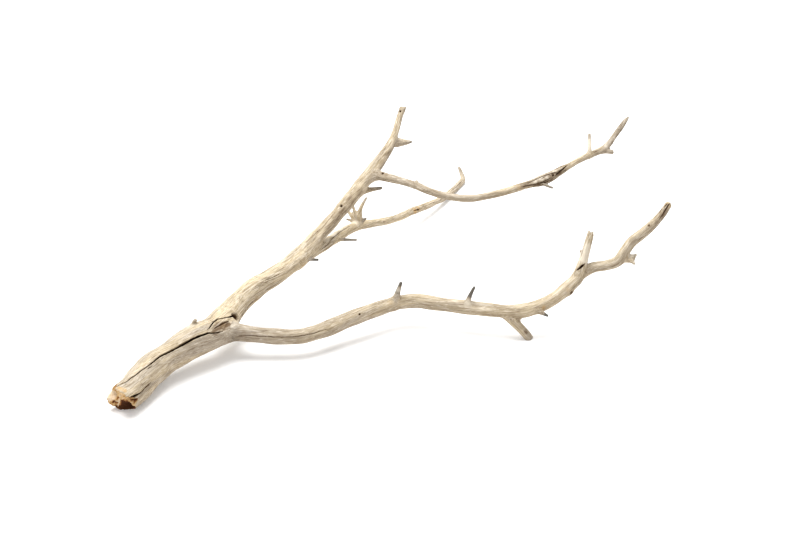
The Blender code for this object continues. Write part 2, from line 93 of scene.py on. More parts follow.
# Short side growths, by the way they end, with the limb that each grows from.
THORNS = {
    "fork": ("main", (-15, 101, 148, 4), (-9, 103, 146, 6), (-3, 104, 146, 5.4), (5, 102, 147, 3.5),
        (11, 99, 149, 1.7)),
    "low": ("main", (-66, 36, 99, 5), (-59, 43, 101, 6.4), (-50, 52, 103, 5.2), (-40, 54, 104, 3.3),
        (-27, 56, 105, 2.1)),
    "little": ("main", (-131, -60, 66.5, 2.6), (-122, -56, 65, 2.4), (-114, -53, 63.5, 1.9),
        (-103, -50, 61.5, 1.5)),
    "first": ("right", (-12, -102, 28, 6), (-10, -103, 32, 5.6), (-7, -103, 41, 4.2), (-5, -102, 49, 2.9),
        (-2, -100, 58, 1.9)),
    "second": ("right", (75, -113, 31, 5), (77, -113, 34, 4.9), (78, -113, 42, 3.4), (81, -110, 49, 2.3),
        (85, -108, 57, 1.6)),
    "under": ("right", (149, -119, 34, 3.5), (156, -123, 35, 4.6), (164, -127, 33.5, 3),
        (171, -130, 31, 1.5)),
    "up_side": ("up", (220, -68, 76, 2.6), (218, -69, 78, 2.4), (214, -63, 81, 1.3)),
    "upper_prong": ("fish_tail", (271, -65, 72, 3.4), (276, -64, 73, 2.8), (281, -62, 75, 1.6)),
    "lower_prong": ("fish_tail", (270, -66, 71, 3.4), (275, -69, 71, 2.8), (278, -74, 70, 1.6)),
    "far_up": ("long", (236, 70, 141, 3), (235, 70, 145, 3.2), (235, 72, 152, 2.5), (235, 78, 159, 2.1),
        (235, 84, 166, 1.8)),
    "gouge": ("long", (166, 22, 131, 2.4), (171, 21, 129.5, 2), (177.5, 20.7, 126.7, 1.7),
        (185, 21, 123.3, 1.3)),
    "back_right": ("back", (-90, 5, 57, 3.2), (-85, 8, 57, 3.1), (-78, 8.5, 57, 2.4), (-68, 6.5, 58, 1.8),
        (-57, 4, 59, 1.3)),
    "fan_left": ("fan_root", (-58, 61, 53, 3), (-62, 62, 58, 3.2), (-68, 65, 65, 2.1), (-73, 68, 71, 1.3)),
    "fan_middle": ("fan_root", (-58, 61, 52, 3), (-59, 62, 58, 3.6), (-61.5, 65, 68, 2.1),
        (-64, 68, 77, 1.3)),
    "fan_right": ("fan_root", (-57, 61, 52, 3), (-56, 62, 57, 4.2), (-54, 64, 69, 2.7), (-50, 66, 78, 1.9),
        (-46, 67, 85, 1.4)),
    "fan_low": ("fan_root", (-57, 62, 52, 3.2), (-59, 63, 53, 3), (-66, 64, 54, 2), (-71, 66, 55, 1.3)),
    "fan_stub": ("fan_root", (-55, 62, 51, 2.6), (-50.5, 62, 55, 2.1), (-47, 62, 58, 1.4)),
    "wart": ("long", (16, 25, 123, 3), (17, 27, 126, 2.5), (18, 31, 129, 1.1)),
    "tip_split": ("right", (306, -44, 112, 3), (310, -42, 117, 2.2), (313, -38, 123, 1.5),
        (314.5, -36, 126, 0.8)),
    "up_left": ("up", (223, -56, 92, 2.4), (224, -53, 97, 1.9), (224.5, -50, 102, 1)),
    "up_right": ("up", (226, -55, 93, 2.4), (228, -52, 97, 1.6), (229.5, -50, 101, 0.8)),
    "top_prong": ("main", (0, 134, 173, 2.4), (2.5, 137, 177, 1.8), (5, 139, 180, 0.9)),
}
STUBS = {
    "rear": ("main", (-247, -178, 34, 3), (-245, -178, 42, 2.5), (-241, -178, 50, 2.3),
        (-237, -178, 56, 2.1)),
    "up": ("right", (208, -85, 51, 5), (211, -81, 58, 6.6), (215, -75, 67, 6.1), (219, -67, 78, 5.1),
        (223, -58, 89, 4.5), (226, -51, 97, 3.9)),
    "fish_tail": ("right", (255, -70, 69, 3.8), (260, -68, 71, 5), (268, -65, 72, 4.8), (275, -65, 72, 4.6),
        (278, -67, 72, 3.9)),
    "far_end": ("long", (246, 76, 146, 2.4), (250, 77, 146, 3.2), (258, 79, 145, 3.1), (266, 81, 143, 3)),
    "fan_root": ("back", (-60, 56, 47, 3), (-58, 60, 51, 6), (-58, 62, 55, 5.6), (-57, 63, 60, 4)),
    "foot": ("right", (124, -120, 32, 4.5), (127, -125, 27, 6), (133, -129, 21, 5.8),
        (141, -130, 12.5, 5.3), (148, -131, 4, 5.1), (151, -131, -1, 5)),
}
SEED_TURN = 2.4  # phase step in radians that makes the ridges of every limb its own
LINE_STEP = 2.0  # distance between places along a limb's line
STEEP = 0.8  # a limb whose start points up more than this takes its top side from +Y

# The broad ridges of the frame: waves round the limb, share of the radius, turns along RIDGE_LENGTH.
RIDGES = ((2, 0.035, 0.12), (3, 0.03, -0.2), (5, 0.025, 0.3))
RIDGE_LENGTH = 100.0
WAVES = ((61.0, 0.025), (34.0, 0.02))  # thick and thin stretches: their length and share of the radius

# How far a junction's fillet reaches, for the long limbs by name, and for the rest by their root's radius.
FILLETS = {"right": 9.0, "long": 6.0, "back": 7.0, "foot": 6.5, "little": 1.2, "gouge": 0.8}
FILLET_SHARE = 0.8  # of the root's radius
NEAR = 16.0  # a limb's field is worked out this far round it
FAR = 60.0  # farther than any place of interest

# The grain winds round the limbs: degrees to the right side for every millimetre.
TWISTS = {"main": 0.3, "right": -0.25, "long": -0.4, "back": -0.6}

# The butt's ragged edge: how far it sticks out by degrees from the top.
BUTT_EDGE = (
    (0, 5), (20, 5), (45, 4.5), (60, 0), (75, -6), (85, -6.5), (100, -3), (120, -4), (150, -4), (180, -1.5),
    (225, 1.5), (245, 4), (262, 7), (272, 2), (282, -3.5), (300, -5), (330, -4.5), (345, -2), (352, 3),
    (360, 5),
)
BUTT_TEETH = ((5.0, 2.0), (2.4, 1.6), (1.1, 1.0))  # splinters across the break: size and height

# Places on the break, to the right and up from its middle, each with its two reaches, then how much paler or
# darker it is than torn wood, and how much deeper. The darker places are mostly the deeper ones: rotten
# wood, partly painted shade in the hollows.
BUTT_SPOTS = (
    (4, -9, 10, 9.5, -0.8, 6.5), (-12, 1, 5.5, 7, 0.45, 0), (-9.5, -6, 3.2, 4, -0.4, 2),
    (-5, -14, 8, 4, -0.6, 0.5), (12.8, 3, 6, 3, -0.7, 4), (-5.4, 1.5, 1.6, 3.5, -0.3, 1.5),
    (13.5, -8.5, 4, 3, -0.45, 2), (2, 10, 10, 6, 0.12, 0), (12, -2.5, 3, 3, 0.1, 0),
)
BUTT_SPOT_EDGE = 1.25  # where such a place fades out, in reaches
BUTT_FIBRE = ((-2.5, -1), (-8.2, -12.6), 0.7)  # a pale fibre across the break: its ends and half width
FIBRE_EDGE = 1.6  # where the fibre fades out, in half widths
FIBRE_RISE = 0.7  # the share of the break's depth that the fibre bridges
BUTT_GRAIN = ((1.0, 2.4, 0.28), (2.6, 5.0, 0.2))  # colour of the torn fibres: width, length, amount
ROUGH_BUTT = ((0.5, 3.0), (0.8, 1.5), (1.0, 0.0))  # share of the radius, depth
STUB_TEETH = ((1.6, 0.35),)
STUB_HOLLOW = ((0.0, 0.25), (0.9, -0.25), (1.0, 0.0))  # share of the radius, depth in radii
BREAK_SLOPE = 0.7  # how fast the field grows away from a break

VOXEL = 1.63  # size of the cells that the rough tubes are remeshed with
TUBE_SIDES = 16
TUBE_STRIDE = 2  # a rough tube has a ring at every so many places
TUBE_MARGIN = 0.35  # the rough tubes are this much thicker, so that thin tips last through the remesh
DRAW_ROUNDS = 3  # how often the skin is relaxed and drawn onto the field
DRAW_STEPS = 2
RELAX = 0.5

# Cracks along a limb: spots of distance from its root, degrees from its top to its right side, half
# width and depth. Each starts with its limb, and how far its spots wander.
CRACKS = {
    "main_crack": ("main", 0.5, (-6, -12, 1.0, 6), (10, 3, 0.9, 5), (20, 8, 0.7, 5), (33, 17, 0.8, 6),
        (44, 24, 0.75, 6), (55, 27, 0.9, 7), (77, 30, 1.3, 8), (103, 36, 1.8, 9), (120, 39, 1.7, 8),
        (134, 45, 1.1, 6), (148, 68, 0.4, 3)),
    "collar_valley": ("main", 0.2, (145, 70, 1.2, 0.6), (150, 63, 2.4, 1.5), (155, 58, 2.8, 1.8),
        (161, 56, 2.4, 1.5), (168, 60, 1.4, 0.8)),
    "knot_fold": ("main", 0.2, (139, 40, 0.5, 1), (146, 39, 1.1, 2.2), (153, 45, 1.2, 2.6),
        (158, 52, 0.9, 2), (162, 58, 0.5, 1)),
    "edge_line": ("main", 0.2, (180, 92, 0.3, 0.8), (190, 96, 0.6, 1.3), (205, 99, 0.6, 1.3),
        (222, 101, 0.3, 0.8)),
    "node_crack": ("back", 0.1, (249, 58, 0.4, 0.8), (256, 62, 0.8, 1.6), (262, 67, 1.0, 2),
        (268, 62, 0.4, 0.8)),
    "side_check": ("main", 0.2, (38, 29, 0.3, 1), (43, 31, 0.5, 2), (51, 34, 0.3, 1)),
    "knot_crack": ("main", 0.4, (133, 33, 0.3, 1), (137, 29, 0.5, 3), (141, 22, 0.8, 4), (147, 14, 0.9, 5),
        (153, 15, 0.9, 5), (158, 30, 0.9, 4), (164, 43, 1.0, 4), (173, 56, 1.5, 4)),
    "butt_crack": ("main", 0.4, (-6, 60, 2.6, 7), (4, 63, 1.7, 5), (13, 69, 0.9, 4), (27, 69, 0.6, 3),
        (36, 75, 0.3, 1.5)),
    "right_check": ("right", 0.4, (38, 80, 0.3, 0.6), (55, 72, 0.6, 1.4), (69, 69, 0.6, 1.4),
        (92, 63, 0.5, 1.2), (113, 54, 0.5, 1.3), (127, 57, 0.6, 1.4), (145, 57, 0.3, 0.6)),
    "stub_gap": ("up", 0.1, (11, 118, 0.6, 1.6), (15, 140, 1.6, 3.8), (20, 172, 1.8, 3.8),
        (25, 206, 0.6, 1.6)),
    "back_crease": ("back", 0.3, (30, 80, 0.3, 0.7), (51, 69, 0.6, 1.4), (70, 36, 0.6, 1.5),
        (93, 22, 0.6, 1.4), (111, 24, 0.5, 1.2), (126, 21, 0.3, 0.7)),
    "hook_crease": ("back", 0.1, (356, 34, 0.3, 0.6), (372, 32, 0.6, 1.2), (390, 27, 0.6, 1.1),
        (402, 22, 0.3, 0.5)),
    "plate_under": ("long", 0.2, (206, 56, 0.4, 0.8), (216, 70, 0.6, 1.4), (228, 79, 0.8, 1.9),
        (238, 74, 0.7, 1.7), (247, 62, 0.4, 0.8)),
    "plate_over": ("long", 0.2, (216, 36, 0.3, 0.6), (229, 16, 0.6, 1.3), (242, 8, 0.6, 1.4),
        (252, 24, 0.8, 2), (258, 42, 0.4, 0.9)),
    "eaten_hollow": ("long", 0.2, (252, 72, 0.5, 1.4), (258, 64, 1.2, 2.8), (265, 52, 1.4, 2.8),
        (271, 40, 0.9, 2), (278, 26, 0.4, 0.8)),
    "upper_plate": ("long", 0.2, (243, -4, 0.3, 0.6), (254, -12, 0.5, 1.2), (264, -8, 0.5, 1.2),
        (272, 6, 0.5, 1), (278, 22, 0.4, 0.7)),
    "lowest_swirl": ("long", 0.2, (221, 98, 0.3, 0.7), (231, 102, 0.6, 1.4), (242, 92, 0.6, 1.4),
        (251, 84, 0.4, 0.8)),
    "tip_groove": ("right", 0.2, (603, 74, 0.4, 0.8), (610, 68, 0.9, 1.8), (618, 60, 1.2, 2.6),
        (626, 54, 1.3, 2.8), (632, 50, 1.2, 2.6)),
    "tip_line": ("right", 0.2, (608, 18, 0.3, 0.6), (617, 22, 0.7, 1.6), (625, 20, 0.9, 2.0),
        (632, 18, 0.9, 2.0)),
    "up_line": ("up", 0.1, (26, 112, 0.3, 0.5), (33, 116, 0.5, 1.1), (42, 120, 0.5, 1.2),
        (51, 118, 0.3, 0.6)),
    "first_thorn_line": ("first", 0.1, (16, 120, 0.5, 1), (17, 150, 0.8, 1.8), (17.5, 180, 0.9, 2.2),
        (17, 215, 0.8, 1.8), (16, 245, 0.5, 1)),
    "streak_check": ("main", 0.3, (246, 36, 0.3, 0.5), (258, 45, 0.4, 0.9), (273, 55, 0.3, 0.5)),
    "upper_check": ("main", 0.3, (320, 0, 0.3, 0.5), (340, 14, 0.45, 0.9), (356, 24, 0.4, 0.8),
        (382, 9, 0.3, 0.5)),
}
# Cracks with less painted shade than the rest, down to none.
SOFT_CRACKS = {
    "collar_valley": 0.0, "knot_fold": 0.6, "right_check": 0.7, "back_crease": 0.6, "hook_crease": 0.7,
    "up_line": 0.6, "tip_groove": 0.75, "tip_line": 0.6,
}
CRACK_STEP = 1.5  # distance between the places along a crack
CRACK_PLACES = 4  # a crack has at least this many
CRACK_WAVE = 6.0  # the length over which a crack wanders
CRACK_PINCH = (0.25, 1.7, 9.0)  # how much its width varies, how often beside its wander, and an offset
CRACK_SHADE = (0.35, 5.0)  # how dark the painted shade in the shallowest crack is, and the depth that adds a full share
CRACK_TAPER = 2.5  # steps over which a crack's ends close
CRACK_END = 0.1  # the share of its width that is left at its ends
CRACK_EDGE = 2.2  # how fast its painted shade darkens from its edge to its middle
BUTT_REACH = 7.0  # the skin is cut finer this far from the butt's start
DEEP = 3.5  # deeper cracks and holes are cut finer once more
DEEP_BUTT_REACH = -1.0  # and once more up to here
CRACK_REACH = 0.7  # the skin is cut finer this near to a crack
CRACK_LIP = (0.3, 3.0)  # height and reach of the lips beside a crack
CRACK_SHAPE = 0.75  # below 1 a crack has steeper sides

# Small holes: the limb, distance from its root, degrees from its top, radius and depth.
PITS = {
    "crotch_hole": ("main", 173, 58, 3.4, 6),
    "crotch_hole_end": ("main", 175.5, 72, 4.4, 6.5),
    "worm_hole": ("main", 394, 14, 1.9, 4.5),
    "twig_hole": ("long", 21, 5, 1.7, 3),
    "eaten_hole": ("long", 251, 54, 1.5, 2.6),
    "tip_hole": ("main", 556, 6, 1.4, 3),
    "branch_hole": ("back", 261, 66, 1.6, 2.6),
    "branch_spot": ("back", 185, 69, 0.8, 0.9),
    "corner_hole": ("right", 457, 106, 2.4, 3.6),
    "bend_hole": ("right", 591, 42, 1.2, 1.2),
    "limb_mark": ("right", 189, 46, 1.4, 1.6),
    "second_worm": ("right", 300, 150, 1.1, 3),
    "back_worm": ("main", 290, 215, 1.2, 3.5),
}
PIT_REACH = 1.3  # the skin is cut finer this near to a hole, in radii
PIT_SPREAD = 1.15  # where a hole's slope starts, in radii
PIT_SHADE = (0.3, 4.0)  # how dark the painted shade in the shallowest hole is, and the depth that adds a full share
PIT_EDGE = 1.8  # how fast the painted shade darkens from a hole's edge to its middle
CUT_MARGIN = 1.0  # the skin is also cut finer this far round each form
DEEP_MARGIN = 0.2  # and once more this far
BUTT_SPREAD = 1.6  # how far round the butt's middle its break reaches, in radii
THIN = 2.6  # limbs with a smaller radius are cut finer
GOUGED = ("long", 206.0, 284.0)  # the limb and the stretch of it that is eaten out
GOUGE_CELLS = (15.0, 2.6, 51)  # length and width of the eaten forms, and the seed of their noise
GOUGE_DEPTH = 1.0  # of the deepest eaten form
GOUGE_TAPER = 14.0  # the eaten forms fade over this length at both ends
GOUGE_FACE = (0.9, 1.2)  # how deep they are on the side, and how much deeper on the front
GOUGE_SWAY = (1.6, 7.0)  # how far they swirl, and the size of the swirls
GOUGE_FORM = (2.6, 0.1)  # how steep the hollows are, and how much of the wood they take
GOUGE_RIM = (0.08, 0.1)  # where the noise has the painted shade of a hollow's rim, and how wide
GOUGE_SHADE = (0.3, 0.25)  # how dark the painted shade on the rims and in the hollows is

# Grown-over knots: the limb, distance, degrees from the top, radius, stretch along it, height.
KNOTS = {
    "fork_knot": ("main", 155, 56, 6.5, 1.6, 1.6),
    "collar_knot": ("right", 34, 20, 6.5, 1.2, 1.2),
    "corner_knot": ("right", 457, 112, 4.5, 1.3, 1.6),
    "bend_knot": ("right", 591, 45, 3.2, 1.4, 0.6),
    "branch_knot": ("back", 258, 60, 4.2, 1.9, 0.8),
}
KNOT_FILLET = 3.0  # how far the fillet round a knot reaches

# Where grain lines part round something: the limb, then distance, degrees from the top and reach.
EDDIES = (
    ("main", (155, 56, 7), (175, 70, 5), (394, 14, 4), (268, 250, 7)),
    ("right", (34, 20, 7), (457, 112, 6), (591, 45, 4), (210, 200, 6)),
    ("long", (21, 5, 3.5)),
    ("back", (261, 66, 4), (185, 69, 3.5)),
)

# Darker and paler places: the limb, then distance, degrees from the top, reach, and how dark it is (above
# nothing) or how pale (below nothing). Most are stains and bleaching; some are painted shade and painted
# light, as marked.
STAINS_AND_PAINTED_LIGHT = (
    # dark brown round the fork's knot: partly stain, partly painted shade in the hollow beside the knot
    ("main", (149, 48, 7, 1.0), (154, 54, 6, 1.0), (146, 38, 6, 0.7), (141, 50, 7, 0.7), (158, 62, 5, 0.9),
        (134, 34, 4, 0.3), (140, 60, 4, 0.3), (160, 64, 3, -0.8), (152, 68, 2.5, -0.6)),
    ("right", (44, 52, 8, 0.4), (52, 70, 7, 0.4), (62, 62, 6, 0.4), (417, 92, 3.2, 0.7), (410, 60, 6, 0.35),
        (457, 106, 3, 0.8), (450, 80, 6, 0.25), (591, 42, 3.2, 0.6), (612, 80, 8, 0.8), (619, 60, 6, 0.7),
        (620, 15, 5, -0.4), (600, 85, 6, 0.4)),
    ("main", (378, 35, 10, 0.5), (392, 40, 10, 0.5), (408, 50, 10, 0.5), (425, 70, 8, 0.7),
        (360, 50, 10, 0.35), (441, 40, 10, 0.35)),
    ("rear", (12, 180, 8, -0.5)),
    # pale places near the back branch's root: painted light against the main limb's shadow there
    ("back", (60, 0, 8, -0.5), (80, 345, 8, -0.6), (98, 340, 7, -0.5)),
    ("main", (548, 20, 5, 0.3), (475, 80, 7, 0.35)),
    ("long", (21, 5, 3.5, 0.6), (28, 20, 4, 0.35), (210, 50, 6, 0.5), (218, 40, 5, 0.35),
        (228, 45, 3.5, -0.5), (235, 36, 4.5, -0.5), (243, 38, 4, -0.5), (247, 84, 5, 0.6),
        (232, 104, 6, 0.5), (252, 60, 3.5, 0.5), (261, 62, 5, 0.7), (256, 12, 4, -0.5), (264, 17, 4, -0.5),
        (324, 42, 5, 0.7), (331, 37, 3.5, 0.4), (339, 40, 4, -0.5), (336, 100, 4, 0.5), (350, 95, 5, 0.5),
        (362, 100, 5, 0.6), (375, 100, 5, 0.6), (388, 100, 4, 0.5)),
    ("up", (30, 0, 10, -0.55), (30, 180, 10, -0.6), (42, 180, 9, -0.6)),
    ("far_up", (12, 180, 6, -0.5), (20, 180, 6, -0.6)),
    ("back", (185, 69, 3, 0.4)),
    ("foot", (7, 20, 7, 0.35), (20, 350, 6, 0.35), (34, 0, 5, 0.8)),
    ("right", (385, 105, 10, 0.35)),
    ("first", (9, 180, 5, -0.2), (3, 180, 5, 0.3), (24, 180, 5, -0.45)),
    ("second", (10, 180, 6, -0.5)),
    ("right", (390, 56, 4, 0.35)),
    ("fan_root", (4, 0, 7, -0.6), (12, 180, 5, -0.5)),
    ("fish_tail", (20, 0, 6, -0.7), (12, 90, 5, -0.4)),
)

# Places where the wood is orange, as it is inside: the limb, then distance, degrees, reach and amount.
WARM_SPOTS = (
    ("main", (-2, 8, 4, 0.9), (0, 26, 4, 0.9), (2, 345, 3, 0.5), (300, 100, 6, 0.3), (225, 112, 8, 0.4),
        (151, 54, 7, 0.3)),
    ("right", (627, 95, 5, 0.45)),
    ("fish_tail", (14, 90, 7, 0.3), (8, 180, 6, 0.25)),
    ("right", (628, 10, 4, 0.35), (455, 60, 5, 0.4)),
    ("back", (254, 60, 6, 0.9), (264, 50, 5, 0.8)),
    ("first", (28, 200, 2.5, 0.4)),
    ("right", (417, 88, 5, 0.6), (232, 40, 5, 0.3)),
    ("long", (205, 60, 5, 0.4)),
)

# The colour of the long limbs: distance from the root, then how yellow, how brown and how grey.
TONES = {
    "main": ((0, 0.9, 0.2, 0.25), (120, 0.7, 0.2, 0.35), (190, 0.9, 0.05, 0.05), (260, 0.7, 0.05, 0.05),
        (320, 0.6, 0.1, 0.05), (380, 0.45, 0.45, 0.1), (430, 0.4, 0.35, 0.15), (480, 0.4, 0.3, 0.3),
        (563, 0.35, 0.3, 0.45)),
    "right": ((0, 0.1, 0.1, 0.85), (60, 0.45, 0.3, 0.6), (130, 0.6, 0.4, 0.4), (200, 0.6, 0.35, 0.3),
        (330, 0.5, 0.3, 0.2), (450, 0.5, 0.35, 0.15), (540, 0.4, 0.3, 0.2), (628, 0.3, 0.35, 0.3)),
    "long": ((0, 0.3, 0.3, 0.45), (60, 0.2, 0.4, 0.5), (130, 0.3, 0.4, 0.45), (190, 0.5, 0.4, 0.2),
        (240, 0.3, 0.5, 0.4), (290, 0.7, 0.15, 0.2), (330, 0.7, 0.25, 0.2), (345, 0.2, 0.4, 0.6),
        (375, 0.1, 0.35, 0.7), (401, 0.1, 0.15, 0.6)),
    # the back branch is kept clean and yellow near its root: painted light against the main limb's shadow
    "back": ((0, 0.6, 0, 0.1), (70, 0.7, 0, 0), (130, 0.9, 0, 0), (300, 0.9, 0.1, 0.05),
        (405, 0.7, 0.2, 0.2), (425, 0.4, 0.4, 0.6)),
}
SIDE_TONE = (0.3, 0.15)  # how yellow and how brown a side growth is at its end
PLAIN_TIP = (0.6, 0.45)  # where the end of a plain side growth starts, and how grey it is
TONE_FILLET = 14.0  # the tones fade from one limb to the next over this gap
# Side growths with a grey tip, by the share of their length where it starts and how grey it is.
GREY_TIPS = {
    "up": (0.85, 0.25), "fork": (0.75, 0.75), "low": (0.66, 0.8), "little": (0.2, 1.0),
    "first": (0.45, 1.0), "second": (0.35, 1.0), "under": (0.65, 1.0), "gouge": (0.2, 0.8),
    "up_side": (0.4, 0.9), "back_right": (0.3, 0.8), "fan_right": (0.65, 0.55), "fan_stub": (0.2, 0.8),
}
GREY_BAND = 0.25  # the share of the length over which a tip turns grey
PAINTED_LIGHT_WAY = (-0.33, 0.36, 0.87)  # the way to the light: the sides turned from it get painted shade

# Ridges carved along the grain: length, width, height, sharpness and the seed of their noise.
GRAIN_RIDGES = ((150.0, 9.0, 0.45, False, 11), (90.0, 4.2, 0.3, True, 12), (45.0, 2.6, 0.13, False, 13))
SHARP_RIDGE = (0.5, 1.6)  # height of a sharp ridge, and how fast it falls
GRAIN_FULL_RADIUS = 11.0  # limbs thinner than this have lower ridges
GRAIN_LEAST = 0.15  # the share of the ridges' height that the thinnest limbs keep
DENTS = ((26.0, 0.35, 14), (11.0, 0.12, 15))  # lumps and dents of no direction: size, height, seed
CARVE_FILLET = 3.0  # the carving fades from one limb to the next over this gap
LIMB_OFFSET = 700.0  # keeps the grain of each limb its own
EDDY_STRETCH = 2.0  # how drawn out along the limb an eddy is
EDDY_PUSH = 0.8  # how far it parts the grain
SPOT_EDGE = 1.2  # where a coloured place fades out, in reaches
SPOT_ROUGHNESS = (0.35, 3.0)  # how uneven its edge is, and the size of the waves
SEEDS = {"butt_grain": 61, "butt_teeth": 21, "stub_teeth": 31, "sway": 41, "pinch": 42, "spots": 71}
NOISE_SIZE = 256  # cells before the noise repeats, a power of two
NOISE_GAIN = 1.6  # brings the noise to about -1 to 1
TINY = 1e-6  # keeps a division from nothing
LEAST_LENGTH = 1e-9

# The camera, the light and the floor, in metres.
CAMERA_TARGET = Vector((-0.003, 0.040, 0.0))
CAMERA_DISTANCE = 2.0
CAMERA_ELEVATION = math.radians(30)
CAMERA_LENS = 70.0
SENSOR_WIDTH = 36.0
FLOOR_SIZE = 12.0
FLOOR_LOOK = (0.86, 0.9, 0.12)  # how white, how rough and how bright of itself
WORLD_STRENGTH = 0.8
LIGHT_PLACE = (-0.45, 0.5, 2.3)
LIGHT_SIZE = 2.05
LIGHT_POWER = 88.0

# The wood's noises: length along the grain, width across it, detail and roughness.
WOOD_NOISES = {
    "broad": (90.0, 7.0, 2.0, 0.5),
    "streak": (45.0, 2.2, 4.0, 0.6),
    "fibre": (16.0, 0.7, 3.0, 0.6),
    "line": (70.0, 1.7, 2.0, 0.45),
    "fleck": (9.0, 1.1, 2.0, 0.5),
    "patch": (30.0, 10.0, 3.0, 0.5),
}
WOOD_ROUGHNESS = 0.82
WOOD_SHINE = 0.25
WOOD_RELIEF = (0.5, 0.35)  # how much of the fibres and of the hairlines the relief has
WOOD_BUMP = (0.0012, 0.7)  # distance and strength


class Limb:
    """A limb's line of places, with the radius, distance, direction, top and right side at each."""

    def __init__(self, name, stations, number, parity, broken):
        self.name = name
        self.phase = number * SEED_TURN
        self.parity = parity
        self.broken = broken
        self.centres, self.radii = follow(stations)
        steps = np.linalg.norm(np.diff(self.centres, axis=0), axis=1)
        self.distances = np.concatenate([[0.0], np.cumsum(steps)])
        self.length = self.distances[-1]
        self.along, self.up, self.side = turning_frames(self.centres)
        self.twist = math.radians(TWISTS.get(name, 0.0))
        self.fillet = FILLETS.get(name, FILLET_SHARE * self.radii[:2].max())
        self.low = self.centres.min(axis=0) - self.radii.max() - NEAR
        self.high = self.centres.max(axis=0) + self.radii.max() + NEAR

    def ridge(self, angle, distance):
        """How far the wood stands out there, as a share of the radius."""
        share = 1.0
        for waves, amount, turns in RIDGES:
            turned = angle + turns * math.tau * distance / RIDGE_LENGTH + self.phase
            share = share + amount * np.cos(waves * turned)
        for length, amount in WAVES:
            share = share + amount * np.sin(math.tau * distance / length + self.phase)
        return share

    def surface(self, distance, degrees):
        """A place on the limb's surface, with its way out, and its ways along and across."""
        angle = math.radians(degrees)
        centre, along, up, side = (
            np.array([np.interp(distance, self.distances, row) for row in rows.T])
            for rows in (self.centres, self.along, self.up, self.side)
        )
        radius = np.interp(distance, self.distances, self.radii)
        overshoot = min(distance, 0.0)
        out = math.cos(angle) * up + math.sin(angle) * side
        across = math.cos(angle) * side - math.sin(angle) * up
        place = centre + overshoot * along + radius * self.ridge(angle, distance) * out
        return place, out, along, across


def follow(stations):
    """A smooth curve through the stations: places every LINE_STEP or so, and their radii."""
    knots = np.array(stations, float)
    gaps = np.linalg.norm(np.diff(knots[:, :3], axis=0), axis=1)
    chords = np.diff(knots, axis=0) / gaps[:, None]
    slopes = [chords[0]]
    for i in range(1, len(chords)):
        slopes.append((chords[i - 1] * gaps[i] + chords[i] * gaps[i - 1]) / (gaps[i - 1] + gaps[i]))
    slopes.append(chords[-1])
    places = []
    for i, gap in enumerate(gaps):
        count = max(2, round(gap / LINE_STEP))
        for k in range(count):
            t = k / count
            start = knots[i] * (1 - t) ** 2 * (1 + 2 * t) + slopes[i] * gap * t * (1 - t) ** 2
            end = knots[i + 1] * t**2 * (3 - 2 * t) - slopes[i + 1] * gap * t**2 * (1 - t)
            places.append(start + end)
    places.append(knots[-1])
    places = np.array(places)
    return places[:, :3], places[:, 3]


def unit(rows):
    return rows / np.maximum(np.linalg.norm(rows, axis=-1, keepdims=True), LEAST_LENGTH)


def gaps_to(points, place):
    return np.linalg.norm(points - place, axis=1)


def columns_at(table, places):
    """The columns of a table at some places along its first column."""
    rows = np.array(table, float)
    return [np.interp(places, rows[:, 0], column) for column in rows[:, 1:].T]


def by_limb(groups):
    """The rows of a table that names each limb once for a run of rows."""
    return [(name, *row) for name, *rows in groups for row in rows]


def between(first, second, share):
    """Values that lie a share of the way from the first to the second."""
    return first * (1 - share) + second * share


def eased(share):
    """A share that starts and ends softly."""
    return share * share * (3 - 2 * share)


def turning_frames(centres):
    """Direction, top and right side at each place, turned along the line without a twist."""
    marks = np.arange(len(centres))
    along = unit(centres[np.minimum(marks + 1, len(centres) - 1)] - centres[np.maximum(marks - 1, 0)])
    up = np.array((0.0, 0.0, 1.0)) if abs(along[0, 2]) < STEEP else np.array((0.0, 1.0, 0.0))
    ups = []
    for direction in along:
        up = unit(up - up @ direction * direction)
        ups.append(up)
    ups = np.array(ups)
    return along, ups, np.cross(along, ups)


def all_limbs():
    """Every limb by name. Its parity says how many junctions lie between it and the main limb."""
    limbs = {
        "main": Limb("main", MAIN_LIMB, 1, 0, True),
        "right": Limb("right", RIGHT_LIMB, 2, 1, False),
        "long": Limb("long", LONG_TWIG, 3, 1, False),
        "back": Limb("back", BACK_BRANCH, 4, 1, False),
    }
    first = len(limbs) + 1
    numbers = {name: number for number, name in enumerate({**THORNS, **STUBS}, start=first)}
    for group in (STUBS, THORNS):
        for name, (carrier, *stations) in group.items():
            parity = 1 - limbs[carrier].parity
            limbs[name] = Limb(name, stations, numbers[name], parity, name in STUBS)
    return limbs


def lattice_noise(points, seed):
    """Smooth noise from -1 to 1 at each point, from a seeded table of slopes."""
    random = np.random.default_rng(seed)
    table = random.permutation(NOISE_SIZE)
    slopes = unit(random.normal(size=(NOISE_SIZE, 3)))
    last = NOISE_SIZE - 1
    cells = np.floor(points).astype(int)
    inner = points - cells
    fade = inner**3 * (inner * (inner * 6 - 15) + 10)
    total = np.zeros(len(points))
    for corner in itertools.product((0, 1), repeat=3):
        at = cells + corner
        index = table[at[:, 0] & last] + at[:, 1]
        index = table[index & last] + at[:, 2]
        value = (slopes[table[index & last]] * (inner - corner)).sum(axis=1)
        total += value * np.where(corner, fade, 1 - fade).prod(axis=1)
    return total * NOISE_GAIN


def flat_noise(a, b, seed):
    """The same noise on a flat face."""
    return lattice_noise(np.stack([a, b, np.full(len(a), 0.5)], axis=1), seed)


def butt_edge(angle):
    """How far the butt's ragged edge lies in from the limb's start."""
    return -columns_at(BUTT_EDGE, np.degrees(angle) % 360)[0]


